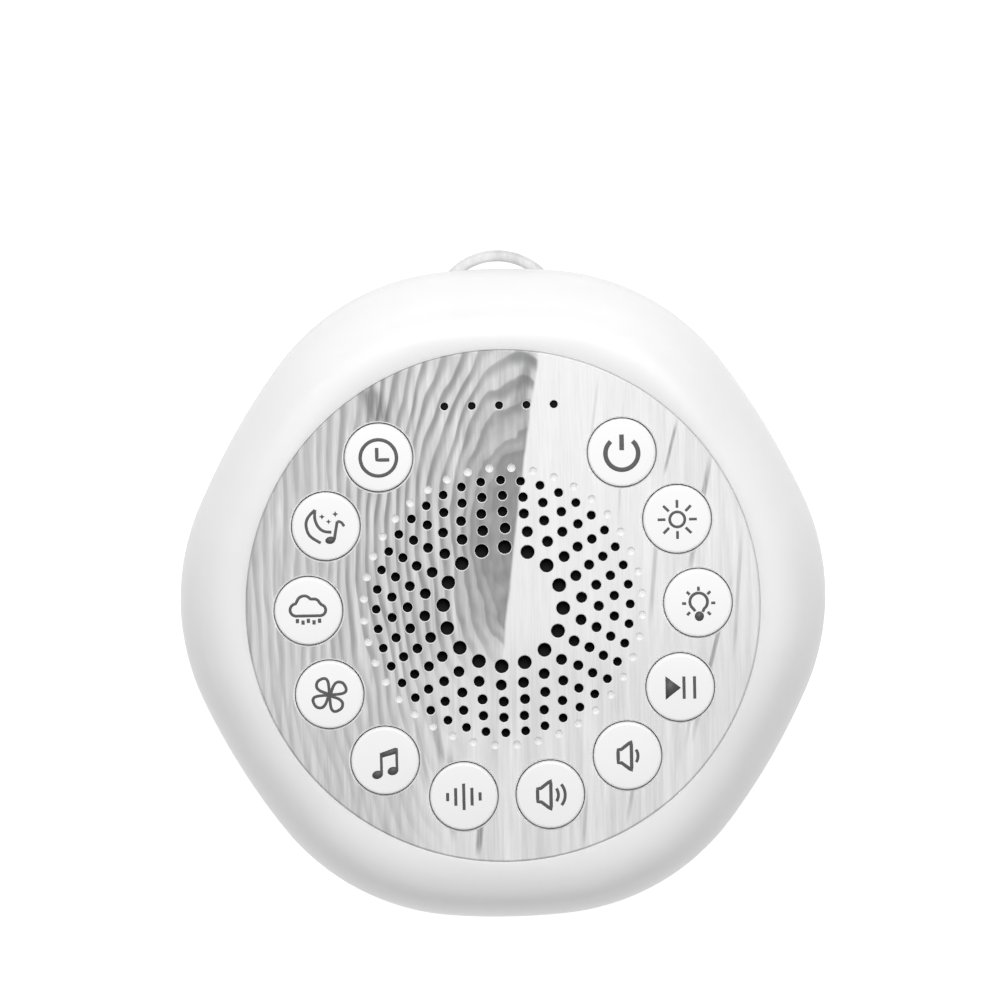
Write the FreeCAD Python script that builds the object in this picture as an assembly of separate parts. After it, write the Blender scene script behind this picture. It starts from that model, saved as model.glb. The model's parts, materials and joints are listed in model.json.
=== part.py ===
import FreeCAD, Part
import math
import os

# White noise sound machine: a puck with six soft corners that lies on its back, face up.
# Lengths are in millimetres and angles in degrees. +Z points up out of the face, +Y points
# to the hanging ring, and the origin is the centre of the flat face that it rests on.

Vector = FreeCAD.Vector

# Outline of the body, seen from above: six slightly bowed sides joined by six corner arcs
long_side_reach = 54.8
slant_side_reach = 53.4
side_arc_radius = 114.0
corner_arc_radius = 40.0

# Body from the resting surface up
rest_height = 1.5
body_depth = 48.5
rear_rounding = 8.5
rim_drop = 16.0
rim_width = 9.6
rim_lip_width = 0.35
seam_height = 20.0
shell_wall = 2.2

# Tongue of the rear shell inside the front shell
tongue_height = 2.0
tongue_wall = 1.1
tongue_gap = 0.1

# Face plate, the ledge that carries it and the adhesive between them
plate_thickness = 2.4
plate_stand = 0.3
plate_edge_gap = 0.15
plate_radius = slant_side_reach - rim_width - rim_lip_width - plate_edge_gap
plate_edge_break = 0.2
ledge_width = 3.25
ledge_thickness = 2.0
adhesive_thickness = 0.2
adhesive_margin = 0.3

# Grille: radius, number of holes, hole diameter and first angle of each ring
grille_rings = [
    (10.1, 16, 2.35, -2.6),
    (13.3, 22, 1.85, 5.6),
    (16.1, 28, 1.7, -0.8),
    (18.8, 34, 1.6, 4.5),
    (21.4, 40, 1.5, 0.0),
]
dimple_ring_radius = 23.5
dimple_count = 40
dimple_first_angle = 4.5
dimple_diameter = 1.15
dimple_depth = 0.3

# Row of indicator holes
indicator_count = 5
indicator_pitch = 4.6
indicator_row_inset = 9.3
indicator_row_y = plate_radius - indicator_row_inset
indicator_hole_diameter = 1.35
indicator_led_width = 1.6
indicator_led_depth = 0.8
indicator_led_height = 0.6
light_pipe_width = 3.0
light_pipe_thickness = 1.0
light_pipe_pin_gap = 0.1
light_pipe_pin_drop = 0.9

# Buttons, each in one of fourteen places on a circle; places 3 and 4 are left out
button_places = 14
button_circle_inset = 10.5
button_circle_radius = plate_radius - button_circle_inset
buttons = {
    "lamp": 0,
    "sun": 1,
    "power": 2,
    "clock": 5,
    "moon": 6,
    "rain": 7,
    "fan": 8,
    "music": 9,
    "sound_wave": 10,
    "volume_up": 11,
    "volume_down": 12,
    "play_pause": 13,
}
button_diameter = 11.4
button_hole_gap = 0.2
button_stand = 1.0
button_dome = 0.12
button_edge_radius = 0.45
button_wall = 1.0
button_roof = 1.2
button_stem_diameter = 3.6
button_stem_drop = 1.1
button_flange_width = 0.9
button_flange_thickness = 0.8
button_flange_gap = 0.1

# Switch under each button
switch_width = 6.0
switch_height = 3.5
switch_corner = 0.5
plunger_diameter = 3.4
plunger_stand = 1.0
plunger_depth = 0.6
plunger_travel_room = 0.75
plunger_side_gap = 0.05

# Control board under the face plate
control_board_thickness = 1.6
control_board_edge_gap = 0.4
control_post_inset = 5.9
control_post_radius = plate_radius - control_post_inset
control_post_diameter = 4.0
control_post_places = [1.5, 5.5, 8.5, 12.5]

# Small screws
small_screw_diameter = 2.0
small_screw_length = 5.5
small_screw_head_diameter = 3.8
small_screw_head_height = 1.3
clamp_screw_head_diameter = 5.6
clamp_screw_cover = 1.5
clamp_pilot_cover = 1.0
screw_side_gap = 0.02
board_hole_gap = 0.1
screw_slot_width = 0.6
screw_slot_depth = 0.6

# Loudspeaker
cloth_thickness = 0.2
gasket_thickness = 1.0
gasket_inner_radius = 22.6
speaker_radius = 25.6
speaker_flange_thickness = 1.0
speaker_sheet = 1.0
speaker_shelf_sheet = 0.8
speaker_floor_margin = 0.5
speaker_throat_radius = 21.4
speaker_shelf_drop = 9.7
speaker_shelf_radius = 17.2
speaker_waist_radius = 14.6
speaker_floor_drop = 13.7
clamp_post_radius = 27.6
clamp_post_diameter = 3.4
clamp_post_places = [2.5, 4.5, 9.5, 11.5]
cone_radius = 18.6
cone_sheet = 0.4
cone_height = 8.3
roll_radius = 1.1
roll_sheet = 0.3
lip_width = 1.2
pole_radius = 6.6
coil_inner_radius = 6.95
coil_outer_radius = 7.45
coil_length = 8.8
gap_radius = 7.9
top_plate_radius = 15.8
top_plate_thickness = 2.0
magnet_inner_radius = 9.5
magnet_radius = 16.0
magnet_thickness = 7.0
yoke_radius = 15.5
yoke_thickness = 2.5
yoke_vent_diameter = 3.0
spider_sheet = 0.3
spider_wave = 0.45
spider_waves = 3
dust_cap_radius = 9.2
dust_cap_height = 2.2
dust_cap_sheet = 0.3
window_count = 4
window_width = 15.0
window_height = 5.5
terminal_angle = -79.0
terminal_width = 5.6
terminal_thickness = 1.2
terminal_rise = 4.0

# Night-light board on posts of the rear shell
light_board_height = 27.6
light_board_thickness = 1.6
light_board_inner_radius = 23.0
light_board_inset = 14.0
light_board_radius = slant_side_reach - light_board_inset
light_board_slot_margin = 1.5
light_board_slot_depth = 6.0
light_post_inset = 6.4
light_post_x = light_board_radius - light_post_inset
light_post_y = 14.0
light_post_diameter = 6.0
light_led_count = 8
light_led_inset = 3.2
light_led_circle_radius = light_board_radius - light_led_inset
light_led_size = 5.0
light_led_height = 1.6

# Main board over the floor of the rear shell
main_board_height = 11.0
main_board_thickness = 1.6
main_board_half_width = 24.0
main_board_near_y = -10.0
main_board_inset = 4.4
main_board_edge_radius = long_side_reach - main_board_inset
main_post_x = 20.5
main_post_near_y = -15.0
main_post_far_y = -40.0
main_post_diameter = 5.0
capacitor_diameter = 6.3
capacitor_height = 7.7
capacitor_x = 18.0
capacitor_y = -32.0

# Flat components of the main board: low and high x, low and high y, height
flat_components = [
    (-14.0, -4.0, -44.0, -34.0, 1.4),
    (10.0, 15.0, -42.0, -36.0, 1.5),
    (8.0, 14.0, -34.0, -29.0, 1.2),
    (-13.0, -8.0, -24.0, -19.0, 3.0),
]

# Charging inlet
port_width = 8.94
port_height = 3.26
port_length = 7.35
port_sheet = 0.3
port_back_sheet = 1.0
port_tongue_recess = 0.7
port_tongue_root = 0.5
port_recess = 0.25
port_side_gap = 0.25
port_tongue_width = 6.7
port_tongue_thickness = 0.7

# Battery on the floor of the rear shell
battery_length = 50.0
battery_width = 34.0
battery_thickness = 10.0
battery_rounding = 3.0
battery_near_y = -3.0
battery_tape_thickness = 0.6
battery_tape_margin = 4.0

# Connectors, ribbon cable and wires
connector_length = 6.0
connector_width = 4.5
connector_height = 5.0
light_connector_height = 2.5
ribbon_connector_length = 13.0
ribbon_connector_width = 4.0
ribbon_connector_height = 2.5
ribbon_width = 10.0
ribbon_thickness = 0.4
ribbon_y = -30.0
ribbon_bow = 1.2
ribbon_bend = 6.0
wire_diameter = 1.2
wire_pitch = 2.0
wire_bend = 2.0
wire_straight_run = 5.0
wire_bow = 0.6
battery_connector_x = -12.0
battery_connector_y = -13.0
speaker_connector_x = 4.0
speaker_connector_y = -21.0
light_connector_x = 16.0
light_connector_y = -24.6

# Case screws, the rear shell's pillars and the front shell's posts
case_screw_inset = 10.2
case_screw_circle_radius = slant_side_reach - case_screw_inset
case_screw_angles = [30.0, 150.0, 210.0, 330.0]
case_screw_diameter = 2.6
case_screw_length = 14.0
case_screw_head_diameter = 4.6
case_screw_head_height = 1.8
case_screw_seat_height = 13.0
case_screw_hole_gap = 0.15
case_screw_head_gap = 0.3
case_screw_end_room = 1.0
pillar_diameter = 7.6
front_post_diameter = 5.6

# Rubber pad that it rests on
pad_radius = 30.0
pad_recess = 0.9
pad_edge_gap = 0.1
pad_groove_radius = 25.0
pad_groove_width = 1.2
pad_groove_depth = 0.5

# Hanging ring, its pin and its recess under the rear shell
ring_radius = 11.7
ring_band = 1.9
ring_thickness = 3.0
ring_edge_radius = 0.7
ring_pivot_inset = 8.8
ring_pivot_y = long_side_reach - ring_pivot_inset
ring_pivot_height = 3.9
ring_eye_diameter = 4.2
ring_eye_width = 2.3
ring_pin_diameter = 2.0
ring_pin_running_gap = 0.05
ring_side_gap = 0.6
ring_roof_gap = 0.2
ring_boss_wall = 2.0
ring_pin_end_room = 0.2

# Heights that follow from the sizes above
base_z = rest_height
top_z = base_z + body_depth
rim_start_z = top_z - rim_drop
seam_z = seam_height
floor_z = base_z + shell_wall
plate_top_z = top_z + plate_stand
plate_under_z = plate_top_z - plate_thickness
ledge_top_z = plate_under_z - adhesive_thickness
ledge_under_z = ledge_top_z - ledge_thickness
recess_radius = plate_radius + plate_edge_gap
ledge_inner_radius = recess_radius - ledge_width
button_radius = button_diameter / 2
button_top_z = plate_top_z + button_stand
flange_top_z = plate_under_z - button_flange_gap
flange_under_z = flange_top_z - button_flange_thickness
plunger_top_z = flange_under_z - button_stem_drop
switch_top_z = plunger_top_z - plunger_stand
control_board_top_z = switch_top_z - switch_height
control_board_under_z = control_board_top_z - control_board_thickness
gasket_top_z = plate_under_z - cloth_thickness
speaker_top_z = gasket_top_z - gasket_thickness
speaker_flange_under_z = speaker_top_z - speaker_flange_thickness
speaker_shelf_z = speaker_top_z - speaker_shelf_drop
speaker_floor_z = speaker_top_z - speaker_floor_drop
magnet_top_z = speaker_floor_z - top_plate_thickness
magnet_under_z = magnet_top_z - magnet_thickness
yoke_under_z = magnet_under_z - yoke_thickness
cone_neck_z = speaker_top_z - cone_height
main_board_top_z = main_board_height + main_board_thickness
light_board_top_z = light_board_height + light_board_thickness
ring_roof_z = ring_pivot_height + ring_eye_diameter / 2 + ring_roof_gap
ring_recess_radius = ring_radius + ring_side_gap


def disc(radius, low, high, x=0.0, y=0.0):
    return Part.makeCylinder(radius, high - low, Vector(x, y, low))


def washer(inner, outer, low, high):
    return disc(outer, low, high).cut(disc(inner, low, high))


def block(x_low, x_high, y_low, y_high, low, high):
    size = Vector(x_high - x_low, y_high - y_low, high - low)
    return Part.makeBox(size.x, size.y, size.z, Vector(x_low, y_low, low))


def rod_along_x(radius, x_low, x_high, y, z):
    return Part.makeCylinder(radius, x_high - x_low, Vector(x_low, y, z), Vector(1, 0, 0))


def on_circle(radius, angle):
    return radius * math.cos(math.radians(angle)), radius * math.sin(math.radians(angle))


def turned_to(shape, angle):
    copy = shape.copy()
    copy.rotate(Vector(0, 0, 0), Vector(0, 0, 1), angle)
    return copy


def moved(shape, x, y, z):
    copy = shape.copy()
    copy.translate(Vector(x, y, z))
    return copy


# A closed wire through points of a profile, which place turns into points in space.
# A step of two numbers is a straight line to that point, and a step of two points is an
# arc through the first to the second.
def profile_wire(place, start, *steps):
    first = place(*start)
    here = first
    edges = []
    for step in steps:
        if isinstance(step[0], tuple):
            end = place(*step[1])
            edges.append(Part.Arc(here, place(*step[0]), end).toShape())
        else:
            end = place(*step)
            edges.append(Part.makeLine(here, end))
        here = end
    if here.distanceToPoint(first) > 1e-6:
        edges.append(Part.makeLine(here, first))
    return Part.Wire(edges)


# A solid turned about Z from a closed profile of radii and heights
def lathe(start, *steps):
    wire = profile_wire(lambda radius, z: Vector(radius, 0, z), start, *steps)
    return Part.Face(wire).revolve(Vector(0, 0, 0), Vector(0, 0, 1), 360)


# Radius of the ball that a dome of this radius and rise is cut from
def ball_radius(radius, rise):
    return (radius ** 2 + rise ** 2) / (2 * rise)


# Middle point of a dome's profile, from its rim at the height low to its top on the axis
def dome_middle(radius, rise, low):
    ball = ball_radius(radius, rise)
    middle = radius / 2
    return middle, low + rise - ball + math.sqrt(ball ** 2 - middle ** 2)


def direction(angle):
    return Vector(*on_circle(1.0, angle), 0)


side_angles = [30.0 + 60.0 * index for index in range(6)]
side_reaches = [long_side_reach if index % 3 == 1 else slant_side_reach for index in range(6)]
side_centres = [
    direction(angle) * (reach - side_arc_radius) for angle, reach in zip(side_angles, side_reaches)
]


def make_corner_centre(index):
    centre = side_centres[index]
    next_centre = side_centres[(index + 1) % 6]
    half_span = centre.distanceToPoint(next_centre) / 2
    outwards = (centre - next_centre).cross(Vector(0, 0, 1)).normalize()
    distance = math.sqrt((side_arc_radius - corner_arc_radius) ** 2 - half_span ** 2)
    return (centre + next_centre) * 0.5 + outwards * distance


corner_centres = [make_corner_centre(index) for index in range(6)]


def outline_point(centre, towards, radius, z):
    return centre + towards * radius + Vector(0, 0, z)


# The outline moved inwards by an inset
def outline_wire(inset, z):
    edges = []
    for index, angle in enumerate(side_angles):
        centre = side_centres[index]
        corner = corner_centres[index]
        into_side = (corner_centres[index - 1] - centre).normalize()
        out_of_side = (corner - centre).normalize()
        out_of_corner = (corner - side_centres[(index + 1) % 6]).normalize()
        side_radius = side_arc_radius - inset
        corner_radius = corner_arc_radius - inset
        side_end = outline_point(centre, out_of_side, side_radius, z)
        edges.append(Part.Arc(
            outline_point(centre, into_side, side_radius, z),
            outline_point(centre, direction(angle), side_radius, z),
            side_end,
        ).toShape())
        edges.append(Part.Arc(
            side_end,
            outline_point(corner, direction(angle + 30), corner_radius, z),
            outline_point(corner, out_of_corner, corner_radius, z),
        ).toShape())
    return Part.Wire(edges)


def outline_prism(inset, low, high):
    face = Part.Face(outline_wire(inset, low))
    return face.extrude(Vector(0, 0, high - low))


def arc_step(centre, radius, start_angle, end_angle):
    points = []
    for angle in ((start_angle + end_angle) / 2, end_angle):
        x, z = on_circle(radius, angle)
        points.append((centre[0] - x, centre[1] + z))
    return tuple(points)


# The body's form, or its inner face where the wall is above 0. Its section is a rounded
# base, an upright wall and a rim of two tangent arcs, close to a quarter of an ellipse,
# and it is swept once round the outline.
def body_form(wall):
    diagonal = math.hypot(rim_drop, rim_width)
    top_arc_radius = diagonal * (diagonal - rim_drop + rim_width) / (2 * rim_drop)
    wall_arc_radius = diagonal * (diagonal + rim_drop - rim_width) / (2 * rim_width)
    turn = math.degrees(math.atan2(rim_drop - top_arc_radius, wall_arc_radius - rim_width))
    core_inset = rim_width + 4.0
    low = base_z + wall
    high = top_z - wall
    start = outline_point(side_centres[0], (corner_centres[-1] - side_centres[0]).normalize(),
                          side_arc_radius, 0)
    outwards = (start - side_centres[0]).normalize()

    def place(inset, z):
        return start - outwards * inset + Vector(0, 0, z)

    section = profile_wire(
        place, (core_inset, low), (rear_rounding, low),
        arc_step((rear_rounding, base_z + rear_rounding), rear_rounding - wall, -90, 0),
        (wall, rim_start_z),
        arc_step((wall_arc_radius, rim_start_z), wall_arc_radius - wall, 0, turn),
        arc_step((rim_width, top_z - top_arc_radius), top_arc_radius - wall, turn, 90),
        (core_inset, high),
    )
    band = outline_wire(0, 0).makePipeShell([section], True, False)
    return band.fuse(outline_prism(core_inset, low, high)).removeSplitter()


# Path of straight runs joined by tangent arcs
def rounded_path(points, bend):
    edges = []
    start = points[0]
    for before, corner, after in zip(points, points[1:], points[2:]):
        back = (before - corner).normalize()
        ahead = (after - corner).normalize()
        half_turn = (math.pi - back.getAngle(ahead)) / 2
        arc_start = corner + back * bend * math.tan(half_turn)
        arc_end = corner + ahead * bend * math.tan(half_turn)
        inwards = (back + ahead).normalize()
        arc_middle = corner + inwards * (bend / math.cos(half_turn) - bend)
        edges.append(Part.makeLine(start, arc_start))
        edges.append(Part.Arc(arc_start, arc_middle, arc_end).toShape())
        start = arc_end
    edges.append(Part.makeLine(start, points[-1]))
    return Part.Wire(edges)


def tube_along(points, bend, diameter):
    circle = Part.Wire(Part.makeCircle(diameter / 2, points[0], points[1] - points[0]))
    return rounded_path(points, bend).makePipeShell([circle], True, False)


# Pan-head screw with its head under seat_z and its shank upwards, or the other way up
def pan_screw(x, y, seat_z, length, diameter, head_diameter, head_height, upwards=True):
    shank = disc(diameter / 2, seat_z, seat_z + length)
    head = disc(head_diameter / 2, seat_z - head_height, seat_z)
    head = head.makeFillet(head_height * 0.4, [head.Edges[2]])
    half_slot = head_diameter * 0.3
    low = seat_z - head_height
    high = low + screw_slot_depth
    half_width = screw_slot_width / 2
    slot = block(-half_slot, half_slot, -half_width, half_width, low, high)
    cross_slot = block(-half_width, half_width, -half_slot, half_slot, low, high)
    screw = shank.fuse(head).removeSplitter().cut([slot, cross_slot])
    if not upwards:
        screw.rotate(Vector(0, 0, seat_z), Vector(1, 0, 0), 180)
    return moved(screw, x, y, 0)


def small_screw(x, y, seat_z, upwards=True):
    return pan_screw(
        x, y, seat_z, small_screw_length, small_screw_diameter,
        small_screw_head_diameter, small_screw_head_height, upwards,
    )


def button_angle(place):
    return 360.0 * place / button_places


control_posts = [on_circle(control_post_radius, button_angle(p)) for p in control_post_places]
clamp_posts = [on_circle(clamp_post_radius, button_angle(p)) for p in clamp_post_places]
light_posts = [(x * light_post_x, y * light_post_y) for x in (-1, 1) for y in (-1, 1)]
main_posts = [(x * main_post_x, y) for x in (-1, 1) for y in (main_post_near_y, main_post_far_y)]
case_screw_spots = [on_circle(case_screw_circle_radius, a) for a in case_screw_angles]
indicator_spots = [
    (indicator_pitch * (index - (indicator_count - 1) / 2), indicator_row_y)
    for index in range(indicator_count)
]
tapped_radius = small_screw_diameter / 2 + screw_side_gap
board_hole_radius = small_screw_diameter / 2 + board_hole_gap
port_mouth_y = port_recess - long_side_reach
port_centre_z = main_board_top_z + port_height / 2

# Cutting blocks are wider than the body, and cuts run past what they cut
cut_reach = 2 * long_side_reach
cut_past = 2 * shell_wall

outer_form = body_form(0.0)
inner_form = body_form(shell_wall).common(
    block(-cut_reach, cut_reach, -cut_reach, cut_reach, base_z, ledge_under_z))


def make_front_shell():
    above_seam = block(-cut_reach, cut_reach, -cut_reach, cut_reach, seam_z, top_z + cut_past)
    shell = outer_form.cut(inner_form).common(above_seam)
    posts = [disc(front_post_diameter / 2, seam_z, ledge_under_z + 0.5, x, y) for x, y in case_screw_spots]
    shell = shell.fuse(posts)
    screw_end_z = case_screw_seat_height + case_screw_length + case_screw_end_room
    pilot_radius = case_screw_diameter / 2 + screw_side_gap
    pilots = [disc(pilot_radius, seam_z - 1, screw_end_z, x, y) for x, y in case_screw_spots]
    recess = disc(recess_radius, ledge_top_z, top_z + cut_past)
    throat = disc(ledge_inner_radius, ledge_under_z - 1, top_z + cut_past)
    return shell.cut([recess, throat] + pilots)


def port_outline(width, height, y_low, y_high, centre_z):
    half_round = height / 2
    middle = block(-width / 2 + half_round, width / 2 - half_round, y_low, y_high,
                   centre_z - half_round, centre_z + half_round)
    ends = []
    for side in (-1, 1):
        centre = Vector(side * (width / 2 - half_round), y_low, centre_z)
        ends.append(Part.makeCylinder(half_round, y_high - y_low, centre, Vector(0, 1, 0)))
    return middle.fuse(ends).removeSplitter()


def make_rear_shell():
    below_seam = block(-cut_reach, cut_reach, -cut_reach, cut_reach, base_z - cut_past, seam_z)
    shell = outer_form.cut(inner_form).common(below_seam)

    tongue_inset = shell_wall + tongue_gap
    tongue_low = seam_z - tongue_height
    tongue_high = seam_z + tongue_height
    inside = outline_prism(tongue_inset + tongue_wall, tongue_low, tongue_high)
    tongue = outline_prism(tongue_inset, tongue_low, tongue_high).cut(inside)
    root = outline_prism(shell_wall / 2, tongue_low, seam_z).cut(inside)

    pillars = [disc(pillar_diameter / 2, floor_z - 1, seam_z, x, y) for x, y in case_screw_spots]
    light = [disc(light_post_diameter / 2, floor_z - 1, light_board_height, x, y) for x, y in light_posts]
    main = [disc(main_post_diameter / 2, floor_z - 1, main_board_height, x, y) for x, y in main_posts]

    boss_half_width = ring_recess_radius + ring_boss_wall
    boss = disc(boss_half_width, base_z, ring_roof_z + ring_boss_wall, 0, ring_pivot_y)
    beyond_y = long_side_reach + cut_past
    boss = boss.fuse(block(-boss_half_width, boss_half_width, ring_pivot_y, beyond_y,
                           base_z, ring_roof_z + ring_boss_wall))
    boss = boss.common(outer_form)
    shell = shell.fuse([tongue, root, boss] + pillars + light + main)

    ring_space = disc(ring_recess_radius, base_z - 1, ring_roof_z, 0, ring_pivot_y)
    ring_way_out = block(-ring_recess_radius, ring_recess_radius, ring_pivot_y, beyond_y,
                         base_z - 1, ring_roof_z)
    pin_half_length = ring_recess_radius + ring_boss_wall
    pin_hole = rod_along_x(ring_pin_diameter / 2 + screw_side_gap, -pin_half_length,
                           pin_half_length, ring_pivot_y, ring_pivot_height)
    cuts = [ring_space, ring_way_out, pin_hole]
    for x, y in case_screw_spots:
        head_hole_radius = case_screw_head_diameter / 2 + case_screw_head_gap
        cuts.append(disc(head_hole_radius, base_z - 1, case_screw_seat_height, x, y))
        hole_radius = case_screw_diameter / 2 + case_screw_hole_gap
        cuts.append(disc(hole_radius, base_z - 1, seam_z + 1, x, y))
    for x, y in light_posts:
        cuts.append(disc(tapped_radius, light_board_height - small_screw_length,
                         light_board_height + 1, x, y))
    for x, y in main_posts:
        cuts.append(disc(tapped_radius, main_board_height - small_screw_length,
                         main_board_height + 1, x, y))
    cuts.append(disc(pad_radius + pad_edge_gap, base_z - 1, base_z + pad_recess))
    cuts.append(port_outline(port_width + 2 * port_side_gap, port_height + 2 * port_side_gap,
                             port_mouth_y - cut_past, port_mouth_y + port_length, port_centre_z))
    return shell.cut(cuts)


def make_face_plate():
    edge_low = plate_top_z - plate_edge_break
    plate = lathe(
        (0, plate_under_z), (plate_radius, plate_under_z), (plate_radius, edge_low),
        (plate_radius - plate_edge_break, plate_top_z), (0, plate_top_z),
    )
    posts = [disc(control_post_diameter / 2, control_board_top_z, plate_under_z, x, y)
             for x, y in control_posts]
    posts += [disc(clamp_post_diameter / 2, speaker_flange_under_z, plate_under_z, x, y)
              for x, y in clamp_posts]
    plate = plate.fuse(posts)

    cuts = []
    for radius, count, hole_diameter, first_angle in grille_rings:
        for index in range(count):
            x, y = on_circle(radius, first_angle + 360.0 * index / count)
            cuts.append(disc(hole_diameter / 2, plate_under_z - 1, plate_top_z + 1, x, y))
    dimple_ball = ball_radius(dimple_diameter / 2, dimple_depth)
    for index in range(dimple_count):
        x, y = on_circle(dimple_ring_radius, dimple_first_angle + 360.0 * index / dimple_count)
        ball_centre = Vector(x, y, plate_top_z + dimple_ball - dimple_depth)
        cuts.append(Part.makeSphere(dimple_ball, ball_centre))
    for x, y in indicator_spots:
        cuts.append(disc(indicator_hole_diameter / 2, plate_under_z - 1, plate_top_z + 1, x, y))
    for place in buttons.values():
        x, y = on_circle(button_circle_radius, button_angle(place))
        cuts.append(disc(button_radius + button_hole_gap, plate_under_z - 1, plate_top_z + 1, x, y))
    for x, y in control_posts:
        cuts.append(disc(tapped_radius, control_board_top_z - 1, plate_under_z, x, y))
    for x, y in clamp_posts:
        cuts.append(disc(tapped_radius, speaker_flange_under_z - 1,
                         plate_top_z - clamp_pilot_cover, x, y))
    return plate.cut(cuts)


def make_adhesive():
    inner = ledge_inner_radius + adhesive_margin
    return washer(inner, plate_radius - adhesive_margin, ledge_top_z, plate_under_z)


def make_button():
    edge_z = button_top_z - button_dome
    roof_z = button_top_z - button_dome - button_roof
    stem_radius = button_stem_diameter / 2
    inner_radius = button_radius - button_wall
    flange_radius = button_radius + button_hole_gap + button_flange_width / 2
    flat_radius = button_radius - button_edge_radius
    corner = button_edge_radius * (1 - math.sqrt(0.5))
    cap = lathe(
        (0, plunger_top_z), (stem_radius, plunger_top_z), (stem_radius, roof_z),
        (inner_radius, roof_z), (inner_radius, flange_under_z), (flange_radius, flange_under_z),
        (flange_radius, flange_top_z), (button_radius, flange_top_z),
        (button_radius, edge_z - button_edge_radius),
        ((button_radius - corner, edge_z - corner), (flat_radius, edge_z)),
        (dome_middle(flat_radius, button_dome, edge_z), (0, button_top_z)),
    )
    return moved(cap, button_circle_radius, 0, 0)


def make_plunger():
    low = switch_top_z - plunger_depth
    return disc(plunger_diameter / 2, low, plunger_top_z, button_circle_radius)


def make_switch():
    half = switch_width / 2
    body = block(-half, half, -half, half, control_board_top_z, switch_top_z)
    upright = [edge for edge in body.Edges if abs(edge.tangentAt(edge.FirstParameter).z) > 0.9]
    body = body.makeChamfer(switch_corner, upright)
    bore_low = switch_top_z - plunger_depth - plunger_travel_room
    bore = disc(plunger_diameter / 2 + plunger_side_gap, bore_low, switch_top_z)
    return moved(body.cut(bore), button_circle_radius, 0, 0)


def make_switches():
    switch = make_switch()
    return Part.makeCompound([turned_to(switch, button_angle(p)) for p in buttons.values()])


def make_control_board():
    outer = ledge_inner_radius - control_board_edge_gap
    inner = speaker_radius + screw_side_gap + board_hole_gap
    board = washer(inner, outer, control_board_under_z, control_board_top_z)
    holes = [disc(board_hole_radius, control_board_under_z, control_board_top_z, x, y)
             for x, y in control_posts]
    return board.cut(holes)


def make_small_screws():
    screws = [small_screw(x, y, control_board_under_z) for x, y in control_posts]
    screws += [small_screw(x, y, light_board_top_z, False) for x, y in light_posts]
    screws += [small_screw(x, y, main_board_top_z, False) for x, y in main_posts]
    return Part.makeCompound(screws)


def make_clamp_screws():
    length = plate_under_z - speaker_flange_under_z + plate_thickness - clamp_screw_cover
    return Part.makeCompound([
        pan_screw(x, y, speaker_flange_under_z, length, small_screw_diameter,
                  clamp_screw_head_diameter, small_screw_head_height)
        for x, y in clamp_posts
    ])


def make_indicator_leds():
    half_width = indicator_led_width / 2
    half_depth = indicator_led_depth / 2
    high = control_board_top_z + indicator_led_height
    leds = [block(x - half_width, x + half_width, y - half_depth, y + half_depth,
                  control_board_top_z, high) for x, y in indicator_spots]
    return Part.makeCompound(leds)


def make_light_pipe():
    half_length = indicator_pitch * indicator_count / 2
    half_width = light_pipe_width / 2
    low = plate_under_z - light_pipe_thickness
    high = plate_top_z - light_pipe_pin_drop
    pin_radius = indicator_hole_diameter / 2 - light_pipe_pin_gap
    bar = block(-half_length, half_length, indicator_row_y - half_width, indicator_row_y + half_width,
                low, plate_under_z)
    pins = [disc(pin_radius, low, high, x, y) for x, y in indicator_spots]
    return bar.fuse(pins)


def make_grille_cloth():
    return disc(speaker_radius - adhesive_margin, gasket_top_z, plate_under_z)


def make_gasket():
    return washer(gasket_inner_radius, speaker_radius - adhesive_margin, speaker_top_z, gasket_top_z)


def make_basket():
    outer_shelf = speaker_shelf_radius + speaker_shelf_sheet
    floor_radius = gap_radius + speaker_floor_margin
    outer_waist = speaker_waist_radius + speaker_sheet
    throat_foot = speaker_throat_radius + speaker_sheet
    basket = lathe(
        (speaker_radius, speaker_top_z), (speaker_radius, speaker_flange_under_z),
        (throat_foot, speaker_flange_under_z), (outer_shelf, speaker_shelf_z - speaker_sheet),
        (outer_waist, speaker_shelf_z - speaker_sheet), (outer_waist, speaker_floor_z),
        (floor_radius, speaker_floor_z), (floor_radius, speaker_floor_z + speaker_sheet),
        (speaker_waist_radius, speaker_floor_z + speaker_sheet),
        (speaker_waist_radius, speaker_shelf_z), (speaker_shelf_radius, speaker_shelf_z),
        (speaker_throat_radius, speaker_top_z),
    )
    middle_z = (speaker_shelf_z + speaker_flange_under_z) / 2
    window = block(speaker_waist_radius, speaker_radius, -window_width / 2, window_width / 2,
                   middle_z - window_height / 2, middle_z + window_height / 2)
    windows = [turned_to(window, 45 + 360.0 * index / window_count) for index in range(window_count)]
    return basket.cut(windows)


def make_surround():
    lip_top_z = speaker_top_z + roll_sheet
    roll_centre = cone_radius + roll_sheet / 2 + roll_radius
    roll_outer = roll_radius + roll_sheet / 2
    roll_inner = roll_radius - roll_sheet / 2
    return lathe(
        (cone_radius - lip_width, speaker_top_z), (roll_centre - roll_outer, speaker_top_z),
        ((roll_centre, speaker_top_z - roll_outer), (roll_centre + roll_outer, speaker_top_z)),
        (gasket_inner_radius - roll_sheet, speaker_top_z), (gasket_inner_radius - roll_sheet, lip_top_z),
        (roll_centre + roll_inner, lip_top_z), (roll_centre + roll_inner, speaker_top_z),
        ((roll_centre, speaker_top_z - roll_inner), (roll_centre - roll_inner, speaker_top_z)),
        (roll_centre - roll_inner, lip_top_z), (cone_radius - lip_width, lip_top_z),
    )


def make_cone():
    return lathe(
        (coil_outer_radius, cone_neck_z - cone_sheet), (cone_radius, speaker_top_z - cone_sheet),
        (cone_radius, speaker_top_z), (coil_outer_radius, cone_neck_z),
    )


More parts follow.
